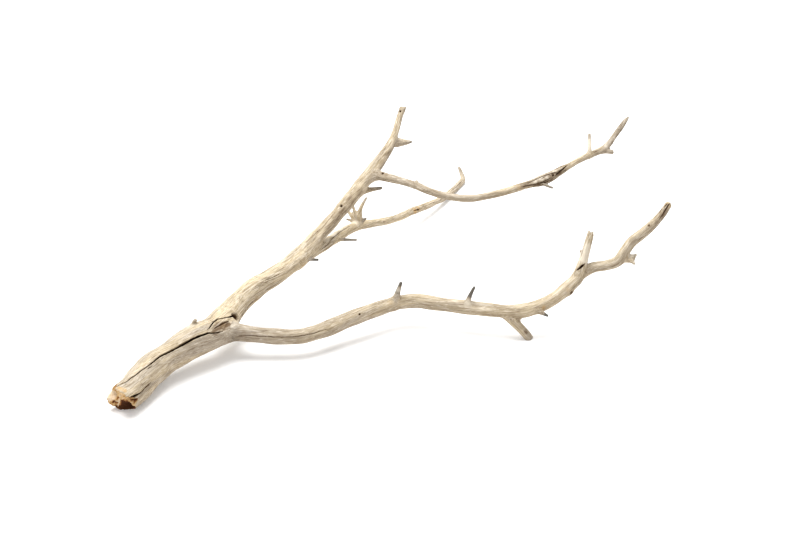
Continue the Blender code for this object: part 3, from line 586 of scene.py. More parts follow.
def butt_spots(a, b):
    """How pale the break of the butt is at a place across it, from 0 to 1, darker in its hollows partly as
    painted shade, and how deep.
    """
    pale = np.full(len(a), 0.5)
    for seed, (width, length, amount) in enumerate(BUTT_GRAIN, start=SEEDS["butt_grain"]):
        pale += amount * flat_noise(a / width, b / length, seed)
    depth = np.zeros(len(a))
    for to_right, up, wide, high, paler, deeper in BUTT_SPOTS:
        gap = np.hypot((a - to_right) / wide, (b - up) / high)
        near = eased(np.clip(BUTT_SPOT_EDGE - gap, 0, 1))
        pale += paler * near
        depth += deeper * near
    start, end, width = BUTT_FIBRE
    step = np.subtract(end, start)
    share = np.clip(((a - start[0]) * step[0] + (b - start[1]) * step[1]) / (step @ step), 0, 1)
    gap = np.hypot(a - start[0] - share * step[0], b - start[1] - share * step[1])
    fibre = np.clip(FIBRE_EDGE - gap / width, 0, 1)
    return np.clip(between(pale, 1, fibre), 0, 1), depth * (1 - FIBRE_RISE * fibre)


def teeth(a, b, table, seed):
    """Splinters of a break, as heights along the limb by the place across it."""
    return sum(
        amount * flat_noise(a / size, b / size, seed + number) for number, (size, amount) in enumerate(table)
    )


def nearest_stretch(limb, points):
    """The stretch of the limb's line beside each point: the place it starts at, and the share along it."""
    squares = (limb.centres**2).sum(axis=1) - 2 * points @ limb.centres.T
    nearest = squares.argmin(axis=1)
    last = len(limb.centres) - 2
    ahead = ((points - limb.centres[nearest]) * limb.along[nearest]).sum(axis=1) >= 0
    start = np.clip(np.where(ahead, nearest, nearest - 1), 0, last)
    before = ((points - limb.centres[start]) * limb.along[start]).sum(axis=1)
    after = ((points - limb.centres[start + 1]) * limb.along[start + 1]).sum(axis=1)
    share = before / np.maximum(before - after, TINY)
    low = np.where(start == 0, -FAR, 0.0)
    high = np.where((start == last) & limb.broken, FAR, 1.0)
    return start, np.clip(share, low, high)


def limb_field(limb, points):
    """How far each point lies outside one limb, the way out, its place along and across, and its break."""
    start, share = nearest_stretch(limb, points)
    off = points - limb.centres[start] - share[:, None] * (limb.centres[start + 1] - limb.centres[start])
    gap = np.linalg.norm(off, axis=1)
    inner = np.clip(share, 0, 1)[:, None]
    radius, up, side, along = (
        between(rows[start], rows[start + 1], inner)
        for rows in (limb.radii[:, None], limb.up, limb.side, limb.along)
    )
    along = unit(along)
    distance = limb.distances[start] + share * (limb.distances[start + 1] - limb.distances[start])
    a = (off * unit(side)).sum(axis=1)
    b = (off * unit(up)).sum(axis=1)
    angle = np.arctan2(a, b)
    reach = radius[:, 0] * limb.ridge(angle, distance)
    outside = gap - reach
    way = off / np.maximum(gap, TINY)[:, None]
    torn = np.zeros(len(points))
    pale = np.ones(len(points))
    spread = np.clip(np.hypot(a, b) / reach, 0, 1)
    if limb.name == "main":
        pale, hollow = butt_spots(a, b)
        face = butt_edge(angle) * spread + hollow + teeth(a, b, BUTT_TEETH, SEEDS["butt_teeth"])
        outside, way, torn = cut_end(outside, way, (face - distance) * BREAK_SLOPE, -along, torn)
        pale = np.where(distance < limb.length / 2, pale, 1)
    else:
        outside, way, _ = cut_end(outside, way, -distance, -along, torn)
    if limb.broken:
        hollow = columns_at(STUB_HOLLOW, spread)[0] * limb.radii[-1]
        face = limb.length - hollow + teeth(a, b, STUB_TEETH, SEEDS["stub_teeth"])
        outside, way, torn = cut_end(outside, way, (distance - face) * BREAK_SLOPE, along, torn)
    return outside, way, distance, a, b, torn, pale


def cut_end(outside, way, beyond, outward, torn):
    """Ends a limb's field at a broken face."""
    over = beyond > outside
    outside = np.where(over, beyond, outside)
    way = np.where(over[:, None], outward, way)
    torn = np.where(over, 1.0, torn)
    return outside, way, torn


def knot_field(limbs, place, points):
    """How far each point lies outside a knot's lump, and the way out."""
    carrier, distance, degrees, radius, stretch, height = place
    spot, out, along, across = limbs[carrier].surface(distance, degrees)
    off = points - (spot + (height - radius) * out)
    local = np.stack([off @ along / stretch, off @ across, off @ out], axis=1)
    size = np.linalg.norm(local, axis=1)
    return size - radius, unit(off)


def smooth_join(first, first_way, second, second_way, reach):
    """Two fields joined with a fillet."""
    share = np.clip(0.5 + 0.5 * (first - second) / reach, 0, 1)
    joined = between(first, second, share) - reach * share * (1 - share)
    return joined, unit(between(first_way, second_way, share[:, None]))


def wood_field(limbs, points):
    """The field of the whole wood. Also the nearest limb of each parity, and places on it."""
    count = len(points)
    outside = np.full(count, FAR)
    way = np.zeros((count, 3))
    near = [new_place_table(count) for _ in range(2)]
    for number, limb in enumerate(limbs.values()):
        inside = ((points > limb.low) & (points < limb.high)).all(axis=1).nonzero()[0]
        if not len(inside):
            continue
        gap, out, distance, a, b, torn, pale = limb_field(limb, points[inside])
        outside[inside], way[inside] = smooth_join(outside[inside], way[inside], gap, out, limb.fillet)
        table = near[limb.parity]
        closer = gap < table["gap"][inside]
        rows = inside[closer]
        found = {"gap": gap, "distance": distance, "a": a, "b": b, "torn": torn, "pale": pale}
        for key, values in found.items():
            table[key][rows] = values[closer]
        table["limb"][rows] = number
    for place in KNOTS.values():
        gap, out = knot_field(limbs, place, points)
        outside, way = smooth_join(outside, way, gap, out, KNOT_FILLET)
    return outside, way, near


def new_place_table(count):
    table = {key: np.zeros(count) for key in ("distance", "a", "b", "torn", "pale")}
    table["gap"] = np.full(count, FAR)
    table["limb"] = np.full(count, -1)
    return table


def tube_ring(limb, i, share=1.0, shift=None):
    """A ring of a rough tube at the limb's place `i`."""
    angles = np.arange(TUBE_SIDES) * math.tau / TUBE_SIDES
    reach = limb.radii[i] * share * limb.ridge(angles, limb.distances[i]) + TUBE_MARGIN * share
    ring = limb.centres[i] + reach[:, None] * (
        np.cos(angles)[:, None] * limb.up[i] + np.sin(angles)[:, None] * limb.side[i]
    )
    if shift is not None:
        ring = ring + shift(angles)[:, None] * limb.along[i]
    return ring


def rough_tube(limb):
    """The corners and faces of a limb's rough tube."""
    if limb.name == "main":
        rings = [
            tube_ring(limb, 0, share, lambda angles, s=share, d=depth: butt_edge(angles) * s + d)
            for share, depth in ROUGH_BUTT
        ]
    else:
        rings = [tube_ring(limb, 0)]
    last = len(limb.centres) - 1
    rings += [tube_ring(limb, i) for i in (*range(TUBE_STRIDE, last, TUBE_STRIDE), last)]
    start = rings[0].mean(axis=0)
    end = limb.centres[-1]
    if not limb.broken:
        end = end + limb.along[-1] * (limb.radii[-1] + 2 * TUBE_MARGIN)
    corners = np.concatenate([*rings, [start], [end]])
    faces = []
    for r, k in itertools.product(range(len(rings) - 1), range(TUBE_SIDES)):
        after = (k + 1) % TUBE_SIDES
        row = r * TUBE_SIDES
        faces.append((row + k, row + after, row + TUBE_SIDES + after, row + TUBE_SIDES + k))
    top = (len(rings) - 1) * TUBE_SIDES
    for k in range(TUBE_SIDES):
        after = (k + 1) % TUBE_SIDES
        faces.append((after, k, len(corners) - 2))
        faces.append((top + k, top + after, len(corners) - 1))
    return corners, faces


def rough_knot(limbs, place):
    """A plain ball for a knot, as corners and faces."""
    carrier, distance, degrees, radius, stretch, height = place
    spot, out, along, across = limbs[carrier].surface(distance, degrees)
    ball = bmesh.new()
    bmesh.ops.create_icosphere(ball, subdivisions=2, radius=radius)
    local = np.array([vertex.co for vertex in ball.verts])
    faces = [tuple(vertex.index for vertex in face.verts) for face in ball.faces]
    ball.free()
    middle = spot + (height - radius) * out
    corners = middle + local[:, :1] * stretch * along + local[:, 1:2] * across + local[:, 2:] * out
    return corners, faces


def placed(name, data):
    """A new object in the scene."""
    thing = bpy.data.objects.new(name, data)
    bpy.context.scene.collection.objects.link(thing)
    return thing


def rough_skin(limbs):
    """All rough tubes remeshed as one skin, as arrays of corners and quads."""
    pieces = [rough_tube(limb) for limb in limbs.values()]
    pieces += [rough_knot(limbs, place) for place in KNOTS.values()]
    faces = []
    count = 0
    for corners, rows in pieces:
        faces += [tuple(count + k for k in row) for row in rows]
        count += len(corners)
    data = bpy.data.meshes.new("rough")
    data.from_pydata(np.concatenate([corners for corners, _ in pieces]).tolist(), [], faces)
    rough = placed("rough", data)
    modifier = rough.modifiers.new("skin", "REMESH")
    modifier.mode = "VOXEL"
    modifier.voxel_size = VOXEL
    bpy.context.view_layer.update()
    evaluated = rough.evaluated_get(bpy.context.evaluated_depsgraph_get())
    skin = bpy.data.meshes.new_from_object(evaluated)
    bpy.data.objects.remove(rough, do_unlink=True)
    return skin


def read_rows(items, field, width=3, kind=np.float32):
    """A field of every item of a mesh, as rows of numbers."""
    values = np.empty(len(items) * width, kind)
    items.foreach_get(field, values)
    return values.reshape(-1, width)


def read_points(mesh):
    return read_rows(mesh.vertices, "co").astype(float)


def write_points(mesh, points):
    mesh.vertices.foreach_set("co", points.astype(np.float32).ravel())
    mesh.update()


def relaxed(points, edges, amount):
    """Every point moved a share of the way to the middle of its neighbours."""
    count = len(points)
    ends = np.concatenate([edges[:, 0], edges[:, 1]])
    others = np.concatenate([edges[:, 1], edges[:, 0]])
    neighbours = np.maximum(np.bincount(ends, minlength=count), 1)
    sums = [np.bincount(ends, weights=points[others, axis], minlength=count) for axis in range(3)]
    return points + amount * (np.stack(sums, axis=1) / neighbours[:, None] - points)


def draw_on(limbs, points, steps):
    """Moves the points onto the wood's field."""
    for _ in range(steps):
        outside, way, _ = wood_field(limbs, points)
        points = points - outside[:, None] * way
    return points


def crack_lines(limbs):
    """Every crack as rows of place, half width and depth, wandering a little."""
    varied, quicker, offset = CRACK_PINCH
    lines = {}
    for number, (name, (carrier, wander, *spots)) in enumerate(CRACKS.items()):
        first, last = spots[0][0], spots[-1][0]
        count = max(CRACK_PLACES, round((last - first) / CRACK_STEP))
        distances = np.linspace(first, last, count)
        degrees, widths, depths = columns_at(spots, distances)
        steps = np.stack([distances / CRACK_WAVE, np.full(count, number + 0.5), np.full(count, 0.5)], axis=1)
        sway = wander * lattice_noise(steps, SEEDS["sway"])
        pinch = 1 + varied * lattice_noise(steps * quicker + offset, SEEDS["pinch"])
        places = []
        for distance, angle, shift in zip(distances, degrees, sway):
            place, _, _, across = limbs[carrier].surface(distance, angle)
            places.append(place + shift * across)
        lines[name] = (draw_on(limbs, np.array(places), DRAW_STEPS), widths * pinch, depths)
    return lines


def line_gaps(points, line, reach):
    """For the points near a line: their rows, their distance from it, and how many steps along it."""
    places = line[0]
    low = places.min(axis=0) - reach
    high = places.max(axis=0) + reach
    rows = ((points > low) & (points < high)).all(axis=1).nonzero()[0]
    near = points[rows]
    best = np.full(len(rows), FAR)
    spot = np.zeros(len(rows))
    for i in range(len(places) - 1):
        step = places[i + 1] - places[i]
        share = np.clip((near - places[i]) @ step / (step @ step), 0, 1)
        gap = np.linalg.norm(near - places[i] - share[:, None] * step, axis=1)
        closer = gap < best
        best[closer] = gap[closer]
        spot[closer] = i + share[closer]
    kept = best < reach
    return rows[kept], best[kept], spot[kept]


def pit_places(limbs):
    """Every hole as a place on the skin, with its radius and depth."""
    places = {}
    for name, (carrier, distance, degrees, radius, depth) in PITS.items():
        spot = limbs[carrier].surface(distance, degrees)[0][None]
        places[name] = (draw_on(limbs, spot, DRAW_STEPS)[0], radius, depth)
    return places


def cut_finer(mesh, chosen):
    """Splits every edge of the faces round the chosen vertices."""
    work = bmesh.new()
    work.from_mesh(mesh)
    work.verts.ensure_lookup_table()
    faces = {face for i in chosen for face in work.verts[i].link_faces}
    edges = list({edge for face in faces for edge in face.edges})
    bmesh.ops.subdivide_edges(work, edges=edges, cuts=1, use_grid_fill=True)
    bmesh.ops.triangulate(work, faces=[face for face in work.faces if len(face.verts) > 4])
    work.to_mesh(mesh)
    work.free()


def near_detail(limbs, points, lines, pits):
    """The vertices near a crack or hole, on the butt's break, on thin tips and on the eaten stretch."""
    chosen = near_butt(limbs, points, BUTT_REACH)
    for line in lines.values():
        rows, _, _ = line_gaps(points, line, line[1].max() + CRACK_REACH)
        chosen[rows] = True
    for place, radius, _ in pits.values():
        chosen |= gaps_to(points, place) < radius * PIT_REACH + CUT_MARGIN
    for limb in limbs.values():
        thin = limb.radii < THIN
        if thin.any():
            chosen |= near_places(points, limb.centres[thin], THIN + CUT_MARGIN)
    name, first, last = GOUGED
    eaten = (limbs[name].distances > first) & (limbs[name].distances < last)
    chosen |= near_places(points, limbs[name].centres[eaten], limbs[name].radii[eaten].max() + CUT_MARGIN)
    return chosen.nonzero()[0]


def near_deep(limbs, points, lines, pits):
    """The vertices near a deep crack or hole, and on the butt's break."""
    chosen = near_butt(limbs, points, DEEP_BUTT_REACH)
    for line in lines.values():
        _, widths, depths = line
        rows, gap, spot = line_gaps(points, line, widths.max() + CUT_MARGIN)
        marks = np.arange(len(widths))
        deep = np.interp(spot, marks, depths) > DEEP
        chosen[rows[deep & (gap < np.interp(spot, marks, widths) + DEEP_MARGIN)]] = True
    for place, radius, depth in pits.values():
        if depth > DEEP:
            chosen |= gaps_to(points, place) < radius
    return chosen.nonzero()[0]


def near_butt(limbs, points, reach):
    """Which points lie on the butt's break, or within reach of it along the trunk."""
    butt = limbs["main"]
    start = butt.centres[0]
    round_it = gaps_to(points, start) < BUTT_SPREAD * butt.radii[0]
    return round_it & ((points - start) @ butt.along[0] < reach)


def near_places(points, places, reach):
    """Which points lie within reach of any of the places."""
    inside = ((points > places.min(axis=0) - reach) & (points < places.max(axis=0) + reach)).all(axis=1)
    rows = inside.nonzero()[0]
    found = np.zeros(len(points), bool)
    if len(rows):
        gaps = np.linalg.norm(points[rows, None] - places[None], axis=2).min(axis=1)
        found[rows[gaps < reach]] = True
    return found


def grain_places(limbs, table):
    """Places in a limb's own wound frame: along it and across it, parted round the eddies."""
    grain = np.zeros((len(table["a"]), 3))
    for number, (name, limb) in enumerate(limbs.items()):
        rows = (table["limb"] == number).nonzero()[0]
        distance, a, b = (table[key][rows] for key in ("distance", "a", "b"))
        for carrier, middle, degrees, reach in by_limb(EDDIES):
            if carrier != name:
                continue
            radius = np.interp(middle, limb.distances, limb.radii)
            angle = math.radians(degrees)
            to_side, to_top = math.sin(angle), math.cos(angle)
            x = a * to_top - b * to_side
            out = a * to_side + b * to_top - radius
            near = np.exp(-(((distance - middle) / EDDY_STRETCH) ** 2 + x**2 + out**2) / reach**2)
            a = a - EDDY_PUSH * x * near * to_top
            b = b + EDDY_PUSH * x * near * to_side
        turn = -limb.twist * distance
        grain[rows, 0] = distance + LIMB_OFFSET * number
        grain[rows, 1] = a * np.cos(turn) + b * np.sin(turn)
        grain[rows, 2] = b * np.cos(turn) - a * np.sin(turn)
    return grain


def tones(limbs, table):
    """How yellow, brown and grey the nearest limb is at each place."""
    found = np.zeros((len(table["a"]), 3))
    for number, (name, limb) in enumerate(limbs.items()):
        rows = (table["limb"] == number).nonzero()[0]
        distance = table["distance"][rows]
        if name in TONES:
            found[rows] = long_tone(name, distance)
            continue
        start, grey = GREY_TIPS.get(name, PLAIN_TIP)
        share = np.clip((distance / limb.length - start) / GREY_BAND, 0, 1)[:, None]
        found[rows] = between(root_tone(limbs, name), np.array((*SIDE_TONE, grey)), share)
    return found


def long_tone(name, distance):
    """The tone of a long limb at each distance."""
    return np.stack(columns_at(TONES[name], distance), axis=-1)


def root_tone(limbs, name):
    """The tone that a side growth starts with: that of its carrier beside it."""
    carrier = {**THORNS, **STUBS}[name][0]
    if carrier not in TONES:
        return root_tone(limbs, carrier)
    nearest = gaps_to(limbs[carrier].centres, limbs[name].centres[0]).argmin()
    return long_tone(carrier, limbs[carrier].distances[nearest])


def grain_height(grain):
    """The carved ridges at places of the grain."""
    height = np.zeros(len(grain))
    for length, width, amount, sharp, seed in GRAIN_RIDGES:
        noise = lattice_noise(grain / (length, width, width), seed)
        if sharp:
            noise = SHARP_RIDGE[0] - SHARP_RIDGE[1] * np.abs(noise)
        height += amount * noise
    return height


def spot_marks(limbs, points, spots):
    """How strongly each place is marked by the spots."""
    rough, size = SPOT_ROUGHNESS
    marks = np.zeros(len(points))
    for number, (name, distance, degrees, reach, amount) in enumerate(by_limb(spots)):
        middle = limbs[name].surface(distance, degrees)[0]
        edge = 1 + rough * lattice_noise(points / size + number, SEEDS["spots"])
        gap = gaps_to(points, middle) / (reach * edge)
        marks += amount * eased(np.clip(SPOT_EDGE - gap, 0, 1))
    return marks


def eaten_forms(limbs, table, points, normals):
    """Depth of the hollows on the eaten stretch, on the side that faces out and forward, and the painted
    shade in and round them.
    """
    name, first, last = GOUGED
    length, width, seed = GOUGE_CELLS
    side, front = GOUGE_FACE
    sway, size = GOUGE_SWAY
    steep, taken = GOUGE_FORM
    middle, half = GOUGE_RIM
    rim_shade, hollow_shade = GOUGE_SHADE
    distance = table["distance"]
    window = np.clip(np.minimum(distance - first, last - distance) / GOUGE_TAPER, 0, 1)
    window *= table["limb"] == list(limbs).index(name)
    window *= np.clip(side - normals[:, 1] * front, 0, 1)
    grain = np.stack([distance, table["a"], table["b"]], axis=1)
    for axis in (1, 2):
        grain[:, axis] += sway * lattice_noise(points / size, seed + axis)
    noise = lattice_noise(grain / (length, width, width), seed)
    form = np.clip(noise * steep + taken, 0, 1)
    rim = np.clip(1 - np.abs(noise - middle) / half, 0, 1)
    return GOUGE_DEPTH * form * window, window * np.clip(rim_shade * rim + hollow_shade * form**2, 0, 1)


def carve_cracks(points, lines, height, crack_shade):
    """Lowers the skin along the cracks, lifts their lips and paints shade into them, darker the deeper they
    are.
    """
    lip_height, lip_reach = CRACK_LIP
    least, full = CRACK_SHADE
    for name, line in lines.items():
        _, widths, depths = line
        rows, gap, spot = line_gaps(points, line, widths.max() + lip_reach)
        marks = np.arange(len(widths))
        width = np.interp(spot, marks, widths)
        depth = np.interp(spot, marks, depths)
        ends = np.clip(np.minimum(spot, marks[-1] - spot) / CRACK_TAPER, CRACK_END, 1)
        inside = np.clip(1 - gap / (width * ends), 0, 1)
        beside = np.clip(1 - (gap - width) / lip_reach, 0, 1) ** 2
        rise = lip_height * np.clip(depth / full, 0, 1) * beside * (inside <= 0)
        height[rows] += rise - depth * ends * inside**CRACK_SHAPE
        shade_amount = SOFT_CRACKS.get(name, 1.0) * np.clip(least + depth / full, 0, 1)
        crack_shade[rows] = np.maximum(crack_shade[rows], np.clip(inside * CRACK_EDGE, 0, 1) * shade_amount)


def carve_pits(points, pits, height, crack_shade):
    """Lowers the skin at the holes and paints shade into them, darker the deeper they are."""
    least, full = PIT_SHADE
    for place, size, depth in pits.values():
        inside = np.clip(PIT_SPREAD - gaps_to(points, place) / size, 0, 1)
        height -= depth * np.sqrt(inside)
        shade_amount = np.clip(least + depth / full, 0, 1)
        crack_shade[:] = np.maximum(crack_shade, np.clip(inside * PIT_EDGE, 0, 1) * shade_amount)


def carve(mesh, limbs, lines, pits):
    """Carves the fine forms into the skin, and stores what the shader needs at each vertex."""
    points = read_points(mesh)
    normals = read_rows(mesh.vertex_normals, "vector").astype(float)
    _, _, (even, odd) = wood_field(limbs, points)
    ahead = even["gap"] - odd["gap"]
    share = eased(np.clip(0.5 + ahead / CARVE_FILLET, 0, 1))
    soft = np.clip(0.5 + ahead / TONE_FILLET, 0, 1)[:, None]
    grains = [grain_places(limbs, table) for table in (even, odd)]
    torn = between(even["torn"], odd["torn"], share)
    radius = between(np.hypot(even["a"], even["b"]), np.hypot(odd["a"], odd["b"]), share)
    height = between(grain_height(grains[0]), grain_height(grains[1]), share)
    for size, amount, seed in DENTS:
        height += amount * lattice_noise(points / size, seed)
    height *= np.clip(radius / GRAIN_FULL_RADIUS, GRAIN_LEAST, 1) * (1 - torn)
    hollow, eaten_shade = eaten_forms(limbs, odd, points, normals)
    height -= hollow * share
    # the painted shade of the eaten hollows starts the shade of the cracks
    crack_shade = eaten_shade * share
    carve_cracks(points, lines, height, crack_shade)
    carve_pits(points, pits, height, crack_shade)
    points = points + height[:, None] * normals
    points[:, 2] = np.maximum(points[:, 2], 0.0)
    write_points(mesh, points)
    kept = {
        "grain_even": grains[0],
        "grain_odd": grains[1],
        "grain_share": share,
        "crack_shade": crack_shade,
        "torn": torn,
        "pale": between(even["pale"], odd["pale"], share),
        "tone": between(tones(limbs, even), tones(limbs, odd), soft),
        "spot": spot_marks(limbs, points, STAINS_AND_PAINTED_LIGHT),
        "warm": spot_marks(limbs, points, WARM_SPOTS),
        # how far each vertex faces the light, for the painted shade on the underside
        "light_facing": normals @ unit(np.array(PAINTED_LIGHT_WAY)),
    }
    for name, values in kept.items():
        store(mesh, name, values)


def store(mesh, name, values):
    """Keeps one number or three numbers at every vertex for the shader."""
    if values.ndim == 1:
        mesh.attributes.new(name, "FLOAT", "POINT").data.foreach_set("value", values.astype(np.float32))
    else:
        attribute = mesh.attributes.new(name, "FLOAT_VECTOR", "POINT")
        attribute.data.foreach_set("vector", values.astype(np.float32).ravel())


def make_wood(limbs):
    """The wood's one fine mesh."""
    skin = rough_skin(limbs)
    edges = read_rows(skin.edges, "vertices", 2, np.int32)
    points = read_points(skin)
    for _ in range(DRAW_ROUNDS):
        points = draw_on(limbs, relaxed(points, edges, RELAX), DRAW_STEPS)
    write_points(skin, points)
    lines = crack_lines(limbs)
    pits = pit_places(limbs)
    for chooser in (near_detail, near_deep):
        cut_finer(skin, chooser(limbs, read_points(skin), lines, pits))
    write_points(skin, draw_on(limbs, read_points(skin), DRAW_STEPS))
    carve(skin, limbs, lines, pits)
    write_points(skin, read_points(skin) * MM)
    skin.shade_smooth()
    return placed("driftwood_skin", skin)


class Shader:
    """Short ways to build a material's nodes."""

    def __init__(self, name):
        self.material = bpy.data.materials.new(name)
        self.material.use_nodes = True
        self.tree = self.material.node_tree
        self.surface = self.tree.nodes["Principled BSDF"]

    def link(self, value, socket):
        """Links a socket, or sets a plain value."""
        if isinstance(value, bpy.types.NodeSocket):
            self.tree.links.new(value, socket)
        else:
            socket.default_value = value

    def node(self, kind, values, **settings):
        """A node with its settings, and its sockets' values by their name or number."""
        node = self.tree.nodes.new(kind)
        for name, setting in settings.items():
            setattr(node, name, setting)
        for key, value in values.items():
            self.link(value, node.inputs[key])
        return node

    def attribute(self, name, output="Fac"):
        return self.node("ShaderNodeAttribute", {}, attribute_name=name).outputs[output]

    def maths(self, operation, first, second=0.0, clamp=False):
        values = {0: first, 1: second}
        return self.node("ShaderNodeMath", values, operation=operation, use_clamp=clamp).outputs[0]

    def times(self, first, second, clamp=False):
        return self.maths("MULTIPLY", first, second, clamp)

    def step(self, value, ends):
        """A smooth step: where it starts and ends, and its results there if they aren't 0 and 1."""
        values = dict(enumerate((value, *ends)))
        node = self.node("ShaderNodeMapRange", values, interpolation_type="SMOOTHSTEP")
        return node.outputs["Result"]

    def mix(self, share, first, second, blend="MIX", kind="RGBA"):
        """A mix of two colours, or of two numbers where the kind is VALUE."""
        data_type = "FLOAT" if kind == "VALUE" else kind
        node = self.node("ShaderNodeMix", {}, data_type=data_type, blend_type=blend)
        self.link(share, node.inputs["Factor"])
        ends = [socket for socket in node.inputs if socket.type == kind and socket.name in "AB"]
        self.link(first, ends[0])
        self.link(second, ends[1])
        return next(socket for socket in node.outputs if socket.type == kind)

    def scaled(self, vector, factors):
        values = {0: vector, 1: factors}
        return self.node("ShaderNodeVectorMath", values, operation="MULTIPLY").outputs["Vector"]

    def noise(self, vector, detail, roughness):
        values = {"Vector": vector, "Scale": 1.0, "Detail": detail, "Roughness": roughness}
        return self.node("ShaderNodeTexNoise", values).outputs["Fac"]

    def bump(self, height, distance, strength):
        values = {"Height": height, "Distance": distance, "Strength": strength}
        return self.node("ShaderNodeBump", values).outputs["Normal"]


def colour(red, green, blue):
    return (red, green, blue, 1.0)


CREAM = colour(0.61, 0.515, 0.37)
PALE = colour(0.74, 0.665, 0.545)
TAN = colour(0.33, 0.26, 0.17)
BROWN = colour(0.16, 0.105, 0.06)
GREY = colour(0.38, 0.33, 0.275)
TIP_GREY = colour(0.095, 0.085, 0.072)
YELLOW = colour(0.61, 0.49, 0.30)
UNDERSIDE_SHADE = colour(0.84, 0.81, 0.78)  # painted shade on the underside: what it keeps of each colour
PLAIN = colour(1.0, 1.0, 1.0)  # white, which changes no colour
CRACK_SHADE_BROWN = colour(0.105, 0.056, 0.022)
CRACK_SHADE_DARK = colour(0.023, 0.008, 0.001)
# colours of the torn butt; its darkest is rotten wood and partly painted shade in the break's hollows
TORN_PALE = colour(0.70, 0.54, 0.37)
TORN_TAN = colour(0.58, 0.37, 0.155)
TORN_BROWN = colour(0.27, 0.10, 0.03)
TORN_ROT_AND_SHADE = colour(0.065, 0.018, 0.003)

# Steps of the wood's colour: where each starts and ends on its scale, and how strong it is there.
STEPS = {
    "cream": (0.36, 0.6),
    "yellow": (0.4, 0.62, 0.0, 0.6),
    "grey": (0.62, 1.0, 0.0, 0.7),
    "brown": (0.6, 1.1, 0.0, 0.6),
    "hairline": (0.0, 0.03, 1.0, 0.0),
    "hairline_patch": (0.42, 0.6),
    "grey_tip": (0.55, 1.0, 0.0, 0.92),
    "stain_and_painted_shade": (0.0, 0.9),
    "dark_streak": (0.36, 0.62, 1.35, 0.45),
    "dark_fibre": (0.35, 0.65, 1.2, 0.6),
    "bleach_and_painted_light": (0.0, -0.6, 0.0, 0.75),
    "warm_streak": (0.3, 0.55, 0.5, 1.0),
    "warm_spot": (0.0, 1.0, 0.0, 0.85),
    "underside": (-0.45, 0.65, 1.0, 0.0),
    "butt_break": (1.0, 0.999),
}
HAIRLINE_STRENGTH = 0.85

# Layers of one scale over each other: the step, then the colour.
PALE_FIBRES = (((0.5, 0.66, 0.0, 0.95), PALE),)
BROWN_FIBRES = (((0.3, 0.46, 0.62, 0.0), BROWN),)
FLECKS = (((0.56, 0.68, 0.0, 0.6), TAN), ((0.44, 0.32, 0.0, 0.65), PALE))
TORN_LAYERS = (((0.02, 0.3), TORN_BROWN), ((0.25, 0.55), TORN_TAN), ((0.5, 0.85), TORN_PALE))
# painted shade in the cracks and holes: brown at the edges, near black in the middle
CRACK_SHADE_LAYERS = (((0.0, 0.45), CRACK_SHADE_BROWN), ((0.4, 0.9), CRACK_SHADE_DARK))


def grain_noise(shader, length, width, detail, roughness):
    """Noise drawn out along the grain, mixed over the junctions. Length and width in millimetres."""
    ends = []
    for name in ("grain_even", "grain_odd"):
        vector = shader.scaled(shader.attribute(name, "Vector"), (1 / length, 1 / width, 1 / width))
        ends.append(shader.noise(vector, detail, roughness))
    return shader.mix(shader.attribute("grain_share"), *ends, kind="VALUE")


def layered(shader, base, scale, layers):
    """A colour with the layers of a scale over it."""
    for ends, shade in layers:
        base = shader.mix(shader.step(scale, ends), base, shade)
    return base


def weathered(shader, noises):
    """The colour of bleached wood, with its streaks, its yellow, grey and brown zones and its hairlines."""
    tone = shader.node("ShaderNodeSeparateXYZ", {0: shader.attribute("tone", "Vector")})
    yellow, brown, grey = tone.outputs
    broad, streak, fibre, line, fleck, patch = noises.values()
    base = shader.mix(shader.step(streak, STEPS["cream"]), TAN, CREAM)
    base = layered(shader, base, fibre, PALE_FIBRES)
    base = shader.mix(shader.times(shader.step(broad, STEPS["yellow"]), yellow), base, YELLOW)
    greyness = shader.maths("ADD", shader.maths("SUBTRACT", 1.0, broad), grey)
    base = shader.mix(shader.step(greyness, STEPS["grey"]), base, GREY)
    brownness = shader.maths("ADD", patch, brown)
    base = shader.mix(shader.step(brownness, STEPS["brown"]), base, TAN)
    hairline = shader.step(shader.maths("ABSOLUTE", shader.maths("SUBTRACT", line, 0.5)), STEPS["hairline"])
    hairline = shader.times(hairline, shader.step(patch, STEPS["hairline_patch"]))
    base = shader.mix(shader.times(hairline, HAIRLINE_STRENGTH), base, BROWN)
    base = layered(shader, base, fibre, BROWN_FIBRES)
    base = layered(shader, base, fleck, FLECKS)
    return shader.mix(shader.step(grey, STEPS["grey_tip"]), base, TIP_GREY), hairline


def marked(shader, noises, base):
    """The colour with its darker, paler and warm places, and painted shade on the underside."""
    # stains and bleaching, with painted shade by the fork's knot and painted light by the back branch's root
    spot = shader.attribute("spot")
    darker = shader.step(spot, STEPS["stain_and_painted_shade"])
    darker = shader.times(darker, shader.step(noises["streak"], STEPS["dark_streak"]))
    darker = shader.times(darker, shader.step(noises["fibre"], STEPS["dark_fibre"]), clamp=True)
    base = shader.mix(darker, base, BROWN)
    base = shader.mix(shader.step(spot, STEPS["bleach_and_painted_light"]), base, PALE)
    warm = shader.times(shader.attribute("warm"), shader.step(noises["streak"], STEPS["warm_streak"]))
    base = shader.mix(shader.step(warm, STEPS["warm_spot"]), base, TORN_TAN)
    # Painted shade: the underside, turned from the light, is darkened.
    under = shader.mix(shader.step(shader.attribute("light_facing"), STEPS["underside"]), PLAIN, UNDERSIDE_SHADE)
    return shader.mix(1.0, base, under, "MULTIPLY")


def broken(shader, base):
    """The colour with the torn butt, partly painted shade in its hollows, and the painted shade in the
    cracks, holes and eaten hollows.
    """
    pale = shader.attribute("pale")
    torn = layered(shader, TORN_ROT_AND_SHADE, pale, TORN_LAYERS)
    butt_only = shader.times(shader.attribute("torn"), shader.step(pale, STEPS["butt_break"]))
    base = shader.mix(butt_only, base, torn)
    return layered(shader, base, shader.attribute("crack_shade"), CRACK_SHADE_LAYERS)


